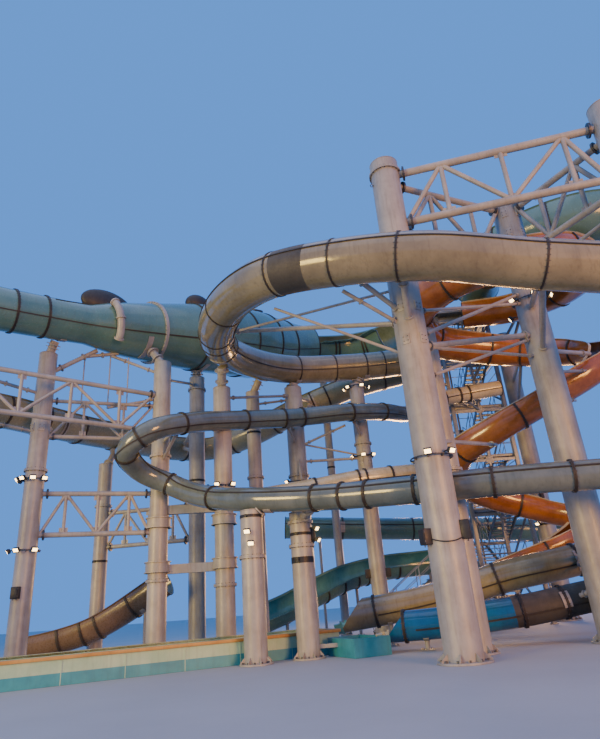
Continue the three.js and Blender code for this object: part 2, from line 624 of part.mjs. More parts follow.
// brackets that leave the stair tower; from is a point on one of its bars
const bracket = (flume, x, y, z, from, dia = 0.12) => ({ flume, x, y, z, from, dia });
const BRACKETS = {
  left: [
    bracket("big", 5.4, 28.3, 13.5, [TOWER.x0, TOWER.y0, 12.0], 0.16),
    bracket("body", 6.1, 29.4, 11.0, [TOWER.x0, 30.2, 10.7]),
    bracket("middle", 6.6, 27.5, 7.25, [TOWER.x0, TOWER.y0, 6.6]),
    bracket("leftTrough", 4.9, 31.0, 13.8, [TOWER.x0, 31.5, 13.4]),
    bracket("raftTrough", 4.5, 32.85, 16.9, [TOWER.x0, TOWER.y1, 14.9], 0.2),
  ],
  front: [
    bracket("pale", 8.2, 27.8, 11.15, [(TOWER.x0 + TOWER.x1) / 2, TOWER.y0, 10.5]),
    bracket("spiral", 9.4, 26.5, 13.2, [(TOWER.x0 + TOWER.x1) / 2, TOWER.y0, 12.2], 0.14),
    bracket("spiral", 8.3, 26.4, 5.7, [(TOWER.x0 + TOWER.x1) / 2, TOWER.y0, 5.1], 0.14),
  ],
};

// box ties welded to a column and butted against the piece they meet
const tie = (z, to, meets, wide = 0.12, deep = 0.12) => ({ z, to, meets, wide, deep });
const toBay = (z) => tie(z, planOf(C.bayFront), () => columnCutters.bayFront, 0.25, 0.35);
const TIES = {
  midLeft: [toBay(3.3), toBay(5.6)],
  shortLeft: [tie(0.45, [-2.65, 21.15], () => channelBody(SEAT))],
  shortRight: [
    tie(0.45, [-0.98, 21.81], () => channelBody(SEAT)),
    tie(0.35, [1.1, 20.5], () => basinBody(SEAT)),
  ],
};

const ringsOf = {};
function ringAt(name, x, y, z) {
  const station = nearest(FLUMES[name], x, y, z);
  (ringsOf[name] ??= new Set()).add(station);
  return station;
}
for (const list of [...Object.values(ARMS), ...Object.values(BRACKETS)]) {
  for (const one of list) one.station = ringAt(one.flume, one.x, one.y, one.z);
}
// joints where a long flume changes node
const JOINTS = { big: [5, 10, 16], raft: [4, 8], body: [8, 15], spiral: [9, 18, 27] };
const cutters = Object.fromEntries(Object.entries(FLUMES).map(([name, flume]) =>
  [name, flume.run(0, flume.count, [...(JOINTS[name] ?? []), ...(ringsOf[name] ?? [])], SEAT)]));

// bars welded to a host, coped to the flumes that they carry; offcuts beyond a flume are dropped
function carrying(host, bars, obstacles) {
  const trimmed = without(union([host, ...bars]), obstacles);
  return trimmed.decompose().sort((a, b) => b.volume() - a.volume())[0];
}
const cuttersFor = (list) => [...new Set(list.map((one) => one.flume))].map((name) => cutters[name]);

function columnWithArms(key) {
  const spec = COLUMNS[key];
  const list = ARMS[key] ?? [];
  const bars = list.flatMap(({ flume, station, heights, dia }) =>
    heights.map((z) => bar([spec.x, spec.y, z], centreOf(FLUMES[flume], station), dia)));
  const ties = TIES[key] ?? [];
  bars.push(...ties.map(({ z, to, wide, deep }) => beam([spec.x, spec.y, z], [...to, z], wide, deep)));
  return carrying(column(spec), bars, [...cuttersFor(list), ...ties.map(({ meets }) => meets())]);
}

function bracketed(host, list) {
  const bars = list.map(({ flume, station, from, dia }) =>
    bar(from, centreOf(FLUMES[flume], station), dia));
  return carrying(host, bars, cuttersFor(list));
}

const POST_BITE = 0.045;      // how far a post runs into the wall of its flume, m

// ground posts welded under a low flume
function posts(flume, places, dia = 0.16) {
  return places.flatMap((t) => {
    const { point, lift } = flume.frame(t);
    const keel = point.addScaledVector(lift, -flume.radiusAt(t) + POST_BITE * MM).divideScalar(MM);
    const [x, y] = [keel.x, keel.y];
    return [bar([x, y, 0], [x, y, keel.z], dia), block(x - 0.2, x + 0.2, y - 0.2, y + 0.2, 0, 0.03)];
  });
}

const nodes = [];
const add = (name, solid, colour, roughness = 0.5) => nodes.push({ name, solid, colour, roughness });

const WHITE = 0xe9e9e4;
const GREY = 0x6f7163;
const TEAL = 0x4f9c98;
const DARK_TEAL = 0x2c6470;
const COPPER = 0xa8682a;
const BLUE = 0x1f5fae;
const TAN = 0x9a7c5c;
const GALVANISED = 0x8b9092;

const COLUMN_NODES = {
  column_main: "main", column_main_rear: "mainRear", column_right_inner: "rightInner",
  column_right_outer: "rightOuter", column_far_right: "farRight", column_outer_right: "outerRight",
  column_left_outer: "leftOuter", column_left_front: "leftFront", column_left_rear: "leftRear",
  column_bay_front: "bayFront", column_bay_rear: "bayRear", column_mid_left: "midLeft",
  column_short_left: "shortLeft", column_short_right: "shortRight", column_centre_left: "centreLeft",
  column_centre_back: "centreBack", column_back: "back", column_rear_left: "rearLeft",
};
for (const [name, key] of Object.entries(COLUMN_NODES)) add(name, columnWithArms(key), WHITE);

const THIRDS = [1 / 3, 2 / 3];
const QUARTERS = [0.25, 0.5, 0.75];
const TRUSSES = {
  truss_top_front: ["main", "rightOuter", 13.5, 15.6, { splits: [0.26, 0.53, 0.8] }],
  truss_top_left: ["main", "rightInner", 13.2, 15.3, { splits: THIRDS, chord: 0.24 }],
  truss_top_right: [
    "rightInner", "rightOuter", 13.2, 15.2, { splits: THIRDS, fallsFirst: true, chord: 0.24 },
  ],
  truss_left_front: [
    "leftOuter", "bayFront", 8.95, 10.6, { splits: [0.135, 0.35, 0.56, 0.785], chord: 0.2, web: 0.13 },
  ],
  truss_left_back: ["leftFront", "bayFront", 8.6, 10.12, { splits: THIRDS, chord: 0.16, web: 0.11 }],
  truss_low_front: ["leftFront", "bayFront", 4.75, 6.3, { splits: QUARTERS, chord: 0.2, web: 0.13 }],
  truss_low_rear: ["leftRear", "bayRear", 4.75, 6.3, { splits: QUARTERS, chord: 0.2, web: 0.13 }],
};
for (const [name, shape] of Object.entries(TRUSSES)) add(name, columnTruss(...shape), WHITE);

// a long flume, one node between each pair of joints
function runs(name, labels, colour, roughness) {
  const flume = FLUMES[name];
  const ends = [0, ...(JOINTS[name] ?? []), flume.count];
  const rings = [...(ringsOf[name] ?? [])];
  labels.forEach((label, k) => {
    const [from, to] = [ends[k], ends[k + 1]];
    const mine = rings.filter((station) => station > from && station < to);
    add(label, flume.run(from, to, mine), colour, roughness);
  });
}
runs("big", ["big_flume_back", "big_flume_turn", "big_flume_front", "big_flume_end"], GREY, 0.25);
runs("raft", ["raft_tube", "raft_cone", "raft_elbow"], TEAL, 0.3);
runs("raftTrough", ["raft_trough"], TEAL, 0.3);
runs("tealTrough", ["teal_trough"], TEAL, 0.3);
runs("body", ["body_flume_upper", "body_flume_curl", "body_flume_lower"], DARK_TEAL, 0.25);
runs("pale", ["pale_flume"], WHITE, 0.3);
const SPIRAL_NODES = ["spiral_flume_upper", "spiral_flume_middle", "spiral_flume_low", "spiral_flume_end"];
runs("spiral", SPIRAL_NODES, COPPER, 0.3);
runs("middle", ["middle_flume"], DARK_TEAL, 0.3);
runs("leftTrough", ["left_trough"], TEAL, 0.3);

// a low flume with the posts that it stands on
function onPosts(name, places) {
  const flume = FLUMES[name];
  return union([flume.run(0, flume.count, [...(ringsOf[name] ?? [])]), ...posts(flume, places)]);
}
const BLUE_POSTS = [0.2, 0.85];
const lastBluePost = FLUMES.blueRunout.curve.getPointAt(BLUE_POSTS[1]).divideScalar(MM);
const toBasin = beam([lastBluePost.x, lastBluePost.y, 0.2], [1.3, 20.5, 0.2], 0.1, 0.1);

add("low_back_flume", onPosts("lowBack", [0.12, 0.5, 0.88]), TEAL, 0.3);
add("low_open_flume", onPosts("lowOpen", [0.1, 0.5, 0.9]), TEAL, 0.3);
add("grey_runout", onPosts("greyRunout", [0.15, 0.85]), GREY, 0.3);
add("blue_runout", onPosts("blueRunout", BLUE_POSTS).add(toBasin).subtract(basinBody(SEAT)), BLUE, 0.3);
add("tan_flume", onPosts("tan", [0.2, 0.8]), TAN, 0.3);

add("runout_channel", channelBody().subtract(room(CHANNEL)), 0x9fd3d8, 0.4);
add("catch_basin", basinBody().subtract(room(BASIN)), 0x9fd3d8, 0.4);
add("tower_left_frame", bracketed(towerSide(TOWER.x0), BRACKETS.left), GALVANISED);
add("tower_right_frame", towerSide(TOWER.x1), GALVANISED);
add("tower_front_frame", bracketed(towerEnd(TOWER.y0), BRACKETS.front), GALVANISED);
add("tower_rear_frame", towerEnd(TOWER.y1), GALVANISED);
add("staircase_lower", staircase(0, TOWER.floors / 2), GALVANISED);
add("staircase_upper", staircase(TOWER.floors / 2, TOWER.floors), GALVANISED);
add("start_deck", startDeck(), GALVANISED);
add("access_stair", accessStair(), GALVANISED);

const group = new THREE.Group();
group.name = "water_slide_tower";
const site = new THREE.Group();
site.name = "site";
group.add(site);
for (const { name, solid, colour, roughness } of nodes) {
  const mesh = solid.getMesh();
  const shape = new THREE.BufferGeometry();
  shape.setAttribute("position", new THREE.BufferAttribute(new Float32Array(mesh.vertProperties), 3));
  shape.setIndex(new THREE.BufferAttribute(new Uint32Array(mesh.triVerts), 1));
  shape.computeVertexNormals();
  const piece = new THREE.Mesh(shape, new THREE.MeshStandardMaterial({ color: colour, roughness }));
  piece.name = name;
  site.add(piece);
}
const bounds = new THREE.Box3().setFromObject(site);
const middle = bounds.getCenter(new THREE.Vector3());
site.position.set(-middle.x, -middle.y, -bounds.min.z);

export default group;
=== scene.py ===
# Water slide tower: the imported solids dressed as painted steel, laminate flumes and galvanised stairs.
from math import atan2, cos, floor, pi, radians, sin, sqrt
import bmesh
import bpy
from mathutils import Matrix, Vector


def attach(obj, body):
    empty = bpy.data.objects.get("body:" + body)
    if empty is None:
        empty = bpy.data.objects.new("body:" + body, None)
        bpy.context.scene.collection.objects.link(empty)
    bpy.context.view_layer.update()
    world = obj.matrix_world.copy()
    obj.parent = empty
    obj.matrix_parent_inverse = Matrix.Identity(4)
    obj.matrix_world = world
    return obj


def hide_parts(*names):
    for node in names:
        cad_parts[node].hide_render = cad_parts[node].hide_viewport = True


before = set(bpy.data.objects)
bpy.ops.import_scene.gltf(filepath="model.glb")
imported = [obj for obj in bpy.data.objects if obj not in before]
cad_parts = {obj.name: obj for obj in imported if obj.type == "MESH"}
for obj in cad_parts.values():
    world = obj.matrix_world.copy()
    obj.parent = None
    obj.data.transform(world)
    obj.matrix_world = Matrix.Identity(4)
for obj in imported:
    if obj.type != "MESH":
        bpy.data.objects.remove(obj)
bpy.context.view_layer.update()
siteShift = Vector((-0.9563, -23.5552, 0.0))     # from the tables' site plan to the frame
upright = Vector((0, 0, 1))
hairline = 0.0003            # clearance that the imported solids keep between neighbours
boltSlot = 1                 # every piece has its bolt steel in this material slot
smoothBelow = radians(35)    # edges flatter than this are shaded smooth
print("frame loaded")


def spot(x, y, z=0.0):
    return Vector((x, y, z)) + siteShift


def linearColour(code, alpha=1.0):
    channels = [int(code[k:k + 2], 16) / 255 for k in (1, 3, 5)]
    return tuple(c / 12.92 if c <= 0.04045 else ((c + 0.055) / 1.055) ** 2.4 for c in channels) + (alpha,)


def addNode(material, kind, settings=None, values=None, links=None):
    node = material.node_tree.nodes.new(kind)
    for key, value in (settings or {}).items():
        setattr(node, key, value)
    for key, value in (values or {}).items():
        node.inputs[key].default_value = value
    for key, source in (links or {}).items():
        material.node_tree.links.new(source, node.inputs[key])
    return node


def coating(name, base, tint, grime="#5a5548", dust="#a39b8a", patchMm=900, streakMm=110, grimeShare=0.35,
            dustShare=0.3, rough=(0.2, 0.4), grainMm=3.0, reliefMm=0.2, coat=0.0, metallic=0.0, spangleMm=0):
    # uneven fading in patches, rain streaks down the walls, dust on what faces up and a fine surface grain
    material = bpy.data.materials.new(name)
    material.use_nodes = True
    links = material.node_tree.links
    shader = material.node_tree.nodes["Principled BSDF"]
    place = addNode(material, "ShaderNodeTexCoord").outputs["Object"]
    facing = addNode(material, "ShaderNodeNewGeometry").outputs["Normal"]
    rise = addNode(material, "ShaderNodeSeparateXYZ", None, None, {"Vector": facing}).outputs["Z"]

    def noise(sizeMm, detail=4.0, stretch=1.0):
        spread = addNode(material, "ShaderNodeMapping", None, {"Scale": (1, 1, stretch)}, {"Vector": place})
        made = addNode(material, "ShaderNodeTexNoise", None,
                       {"Scale": 1000 / sizeMm, "Detail": detail, "Roughness": 0.62},
                       {"Vector": spread.outputs["Vector"]})
        return made.outputs["Fac"]

    def ramp(source, low, high, start=0.0, end=1.0):
        values = {"From Min": low, "From Max": high, "To Min": start, "To Max": end}
        return addNode(material, "ShaderNodeMapRange", None, values, {"Value": source}).outputs["Result"]

    def times(first, second):
        return addNode(material, "ShaderNodeMath", {"operation": "MULTIPLY"}, None,
                       {0: first, 1: second}).outputs["Value"]

    def blend(share, first, second):
        mixer = addNode(material, "ShaderNodeMix", {"data_type": "RGBA"}, {7: linearColour(second)},
                        {0: share})
        if isinstance(first, str):
            mixer.inputs[6].default_value = linearColour(first)
        else:
            links.new(first, mixer.inputs[6])
        return mixer.outputs[2]

    colour = blend(ramp(noise(patchMm), 0.36, 0.66), base, tint)
    if spangleMm:
        cells = addNode(material, "ShaderNodeTexVoronoi", None, {"Scale": 1000 / spangleMm},
                        {"Vector": place})
        colour = blend(ramp(cells.outputs["Color"], 0.2, 0.9, 0.0, 0.5), colour, "#b4b9bb")
    colour = blend(ramp(noise(streakMm, 6.0, 0.1), 0.5, 0.8, 0.0, grimeShare), colour, grime)
    settled = times(ramp(rise, 0.3, 0.95), ramp(noise(patchMm * 0.4, 6.0), 0.35, 0.7, 0.0, dustShare))
    links.new(blend(settled, colour, dust), shader.inputs["Base Color"])
    links.new(ramp(noise(streakMm * 0.6, 5.0), 0.3, 0.7, *rough), shader.inputs["Roughness"])
    bump = addNode(material, "ShaderNodeBump", None, {"Strength": 0.6, "Distance": reliefMm / 1000},
                   {"Height": noise(grainMm, 2.0)})
    links.new(bump.outputs["Normal"], shader.inputs["Normal"])
    shader.inputs["Metallic"].default_value = metallic
    if coat:
        shader.inputs["Coat Weight"].default_value = coat
        shader.inputs["Coat Roughness"].default_value = 0.08
    return material


# rolled alkyd over shop primer: soft sheen, faint roller stipple, rain streaks down the sides
whitePaint = coating("rolled_alkyd_paint_white", "#aaa8a1", "#94918a", "#625a4b", rough=(0.3, 0.5),
                     grimeShare=0.45, grainMm=6, reliefMm=0.1)
# zinc plating: grey, dull, slightly cloudy
boltSteel = coating("zinc_plated_bolt_steel", "#6f7073", "#58595c", metallic=0.9, rough=(0.4, 0.6),
                    patchMm=60)
# gelcoat sprayed against a polished mould: clear gloss, faded in patches
smokeGelcoat = coating("moulded_gelcoat_smoke_olive", "#8f8868", "#756f54", "#544d38", rough=(0.1, 0.28),
                       coat=0.6, patchMm=1500, grimeShare=0.5, grainMm=12, reliefMm=0.03)
slateGelcoat = coating("moulded_gelcoat_slate_teal", "#668a7d", "#517870", "#5f5d44", rough=(0.12, 0.32),
                       coat=0.5, patchMm=1800, grainMm=12, reliefMm=0.03, dust="#8f9a94")
petrolGelcoat = coating("moulded_gelcoat_petrol_grey", "#6b7672", "#56625f", "#3a3e3c", rough=(0.1, 0.26),
                        coat=0.6, patchMm=1200, grainMm=12, reliefMm=0.03, dust="#75878b")
khakiGelcoat = coating("moulded_gelcoat_khaki", "#9a9674", "#7f8570", "#5f5b42", rough=(0.16, 0.34),
                       coat=0.4, patchMm=1500, grainMm=12, reliefMm=0.03)
bronzeGelcoat = coating("moulded_gelcoat_bronze", "#b06e2e", "#8a5222", "#4a2d14", rough=(0.1, 0.3),
                        coat=0.6, patchMm=900, grainMm=12, reliefMm=0.03, dust="#9a7f5c")
creamGelcoat = coating("moulded_gelcoat_cream", "#cdbf9a", "#b5a883", "#6d6550", rough=(0.16, 0.34), coat=0.5,
                       grainMm=12, reliefMm=0.03)
blueGelcoat = coating("moulded_gelcoat_blue", "#1f6696", "#18557f", "#12303f", rough=(0.1, 0.26), coat=0.6,
                      grainMm=12, reliefMm=0.03, dust="#4c7088")
tanGelcoat = coating("moulded_gelcoat_tan", "#75634c", "#5f5039", "#3d3326", rough=(0.2, 0.4), coat=0.4,
                     grainMm=12, reliefMm=0.03)
# the running face of the open flumes: worn smooth and glossy, in a shade of its own
oliveInside = coating("waxed_gelcoat_olive_inside", "#7b8468", "#66704f", "#3f4433", rough=(0.08, 0.24),
                      coat=0.7, grainMm=12, reliefMm=0.03)
aquaInside = coating("waxed_gelcoat_aqua_inside", "#63a3a3", "#4b8a8e", "#35605e", rough=(0.08, 0.24),
                     coat=0.7, grainMm=12, reliefMm=0.03)
bronzeInside = coating("waxed_gelcoat_bronze_inside", "#8a5526", "#653c1b", "#331f10", rough=(0.08, 0.26),
                       coat=0.7, grainMm=12, reliefMm=0.03)
# unfinished laminate faces: matt, with a coarse relief that keeps the dirt; also the painted shade on the
# blue run-out's upstream span and a dark band on the big flume
rawLaminateAndShade = coating("hand_laid_laminate_back_and_painted_shade", "#4a4a44", "#3a3a36", rough=(0.5, 0.75), grainMm=9,
                      reliefMm=0.8)
# sealant wiped over the rings and seam strips: nearly black, dull; the raft's near-black hoods are painted
# shade in it
sealantAndShade = coating("extruded_joint_sealant_black_and_painted_shade", "#2e2a26", "#3b372f", "#191714", rough=(0.45, 0.65),
                       patchMm=120, dust="#6b675f")
# two coats rolled over trowelled render: satin, with faint patches
plinthCoating = coating("rolled_pool_coating_blue", "#3f9aa6", "#2f8493", "#3d5a55", rough=(0.3, 0.5),
                        patchMm=700, grainMm=8, reliefMm=0.2)
poolCoating = coating("rolled_pool_coating_aqua", "#b4cfae", "#9abf9f", "#6b7d6a", rough=(0.3, 0.5),
                      patchMm=700, grainMm=8, reliefMm=0.6)
rimCoating = coating("rolled_rim_coating_ochre", "#c99a55", "#b4823f", "#6d5a3a", rough=(0.35, 0.55),
                     grainMm=8, reliefMm=0.6)
# zinc bath: crystal spangle under a dull grey patina
galvanised = coating("hot_dip_galvanised_steel", "#8a9092", "#777d80", "#5c5b55", metallic=0.75,
                     rough=(0.38, 0.6), spangleMm=14, patchMm=500)
# powder coat on lamp heads, bands and boxes: an even, dull near-black
blackCoat = coating("powder_coated_steel_black", "#1f2124", "#2a2c30", "#14151a", rough=(0.4, 0.6), grainMm=2,
                    patchMm=200)


def stillWater(name):
    # clear pool water over the coating: mirror top with ripples about a hand wide
    material = bpy.data.materials.new(name)
    material.use_nodes = True
    shader = material.node_tree.nodes["Principled BSDF"]
    place = addNode(material, "ShaderNodeTexCoord").outputs["Object"]
    ripple = addNode(material, "ShaderNodeTexNoise", None, {"Scale": 7.0, "Detail": 3.0}, {"Vector": place})
    shade = addNode(material, "ShaderNodeMix", {"data_type": "RGBA"},
                    {6: linearColour("#2f8fa6"), 7: linearColour("#4fb0bd")}, {0: ripple.outputs["Fac"]})
    bump = addNode(material, "ShaderNodeBump", None, {"Strength": 0.5, "Distance": 0.01},
                   {"Height": ripple.outputs["Fac"]})
    material.node_tree.links.new(shade.outputs[2], shader.inputs["Base Color"])
    material.node_tree.links.new(bump.outputs["Normal"], shader.inputs["Normal"])
    shader.inputs["Roughness"].default_value = 0.06
    shader.inputs["IOR"].default_value = 1.33
    shader.inputs["Transmission Weight"].default_value = 0.35
    return material


def lampGlass(name):
    # prismatic front glass, lit from behind: brighter in the middle of each prism
    material = bpy.data.materials.new(name)
    material.use_nodes = True
    shader = material.node_tree.nodes["Principled BSDF"]
    place = addNode(material, "ShaderNodeTexCoord").outputs["Object"]
    prisms = addNode(material, "ShaderNodeTexVoronoi", None, {"Scale": 60.0}, {"Vector": place})
    glow = addNode(material, "ShaderNodeMapRange", None, {"From Max": 0.7, "To Min": 14.0, "To Max": 7.0},
                   {"Value": prisms.outputs["Distance"]})
    material.node_tree.links.new(glow.outputs["Result"], shader.inputs["Emission Strength"])
    shader.inputs["Emission Color"].default_value = linearColour("#ffd58a")
    shader.inputs["Base Color"].default_value = linearColour("#efe6cf")
    shader.inputs["Roughness"].default_value = 0.2
    return material


waterSurface = stillWater("still_pool_water")
lampLens = lampGlass("pressed_lamp_glass_lit")
print("materials")


def aimed(start, end):
    # matrix at the middle of start-end with X along it and Z as near to upright as it goes
    along = (end - start).normalized()
    side = upright.cross(along)
    side = side.normalized() if side.length > 1e-3 else Vector((0, 1, 0))
    turn = Matrix((along, side, along.cross(side))).transposed().to_4x4()
    return Matrix.Translation((start + end) / 2) @ turn


def facesOf(verts):
    return {face for vert in verts for face in vert.link_faces}


def paint(verts, index):
    for face in facesOf(verts):
        face.material_index = index


def mergePart(bm, part):
    # a part is modelled alone and then joined on, which keeps each operator quick
    mesh = bpy.data.meshes.new("part")
    part.to_mesh(mesh)
    part.free()
    bm.from_mesh(mesh)
    bpy.data.meshes.remove(mesh)


def addBar(bm, start, end, radius, segments=20, index=0):
    place = aimed(start, end) @ Matrix.Rotation(pi / 2, 4, "Y")
    made = bmesh.ops.create_cone(bm, cap_ends=True, cap_tris=False, segments=segments, radius1=radius,
                                 radius2=radius, depth=(end - start).length, matrix=place)
    paint(made["verts"], index)


def addBeam(bm, start, end, width, height, index=0):
    size = Matrix.Diagonal(((end - start).length, width, height, 1))
    made = bmesh.ops.create_cube(bm, size=1, matrix=aimed(start, end) @ size)
    paint(made["verts"], index)


def addBlock(bm, low, high, index=0, place=Matrix.Identity(4), bevel=0.0):
    low, high = Vector(low), Vector(high)
    size = Matrix.Diagonal((*(high - low), 1))
    made = bmesh.ops.create_cube(bm, size=1, matrix=place @ Matrix.Translation((low + high) / 2) @ size)
    paint(made["verts"], index)
    if bevel:
        edges = {edge for vert in made["verts"] for edge in vert.link_edges}
        bmesh.ops.bevel(bm, geom=list(edges), offset=bevel, segments=2, profile=0.5, affect="EDGES",
                        material=-1)
    return made["verts"]


def addLathe(bm, place, profile, segments=48, index=0):
    # spins (radius, height) pairs about the place's Z axis
    part = bmesh.new()
    verts = [part.verts.new(place @ Vector((r, 0, z))) for r, z in profile]
    edges = [part.edges.new(pair) for pair in zip(verts, verts[1:])]
    bmesh.ops.spin(part, geom=verts + edges, cent=place.translation, axis=place.col[2].to_3d(),
                   dvec=(0, 0, 0), angle=2 * pi, steps=segments, use_merge=True, use_duplicate=False)
    paint(part.verts, index)
    mergePart(bm, part)


def addHoop(bm, place, radius, tube, start, angle, segments=16, steps=24, index=0):
    # a round bar bent about the place's Z axis
    part = bmesh.new()
    turned = place @ Matrix.Rotation(start, 4, "Z") @ Matrix.Translation((radius, 0, 0))
    full = angle > 2 * pi - 1e-3
    bmesh.ops.create_circle(part, cap_ends=not full, radius=tube, segments=segments,
                            matrix=turned @ Matrix.Rotation(pi / 2, 4, "X"))
    geom = list(part.verts) + list(part.edges) if full else list(part.faces)
    bmesh.ops.spin(part, geom=geom, cent=place.translation, axis=place.col[2].to_3d(), dvec=(0, 0, 0),
                   angle=angle, steps=steps, use_merge=full, use_duplicate=False)
    paint(part.verts, index)
    mergePart(bm, part)


def addArc(bm, place, inner, outer, low, high, start, angle, steps=24, index=0):
    # a flat bar rolled about the place's Z axis, between two radii and two heights
    part = bmesh.new()
    middle = Matrix.Translation(((inner + outer) / 2, 0, (low + high) / 2))
    size = Matrix.Diagonal((outer - inner, 1, high - low, 1))
    square = Matrix.Rotation(pi / 2, 4, "X") @ Matrix.Rotation(pi / 4, 4, "Z")
    bmesh.ops.create_circle(part, cap_ends=True, radius=sqrt(0.5), segments=4,
                            matrix=place @ Matrix.Rotation(start, 4, "Z") @ middle @ size @ square)
    bmesh.ops.spin(part, geom=list(part.faces), cent=place.translation, axis=place.col[2].to_3d(),
                   dvec=(0, 0, 0), angle=angle, steps=steps, use_merge=False, use_duplicate=False)
    paint(part.verts, index)
    mergePart(bm, part)


def addBolts(bm, place, radius, count, size, length, start=0.0, span=2 * pi):
    # hexagon heads on a circle about the place's Z axis, standing along it
    part = bmesh.new()
    turn = Matrix.Rotation(start, 4, "Z") @ Matrix.Translation((radius, 0, 0))
    bmesh.ops.create_cone(part, cap_ends=True, cap_tris=False, segments=6, radius1=size, radius2=size,
                          depth=length, matrix=place @ turn)
    bmesh.ops.spin(part, geom=list(part.verts) + list(part.edges) + list(part.faces), cent=place.translation,
                   axis=place.col[2].to_3d(), dvec=(0, 0, 0), angle=span * (count - 1) / count,
                   steps=count - 1, use_duplicate=True)
    paint(part.verts, boltSlot)
    mergePart(bm, part)


def finishPiece(name, bm, materials, cadNodes=()):
    bmesh.ops.remove_doubles(bm, verts=bm.verts, dist=1e-5)
    bmesh.ops.recalc_face_normals(bm, faces=bm.faces)
    mesh = bpy.data.meshes.new(name)
    bm.to_mesh(mesh)
    bm.free()
    for material in materials:
        mesh.materials.append(material)
    mesh.shade_smooth()
    mesh.set_sharp_from_angle(angle=smoothBelow)
    piece = bpy.data.objects.new(name, mesh)
    bpy.context.scene.collection.objects.link(piece)
    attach(piece, "root")
    if cadNodes:
        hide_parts(*cadNodes)


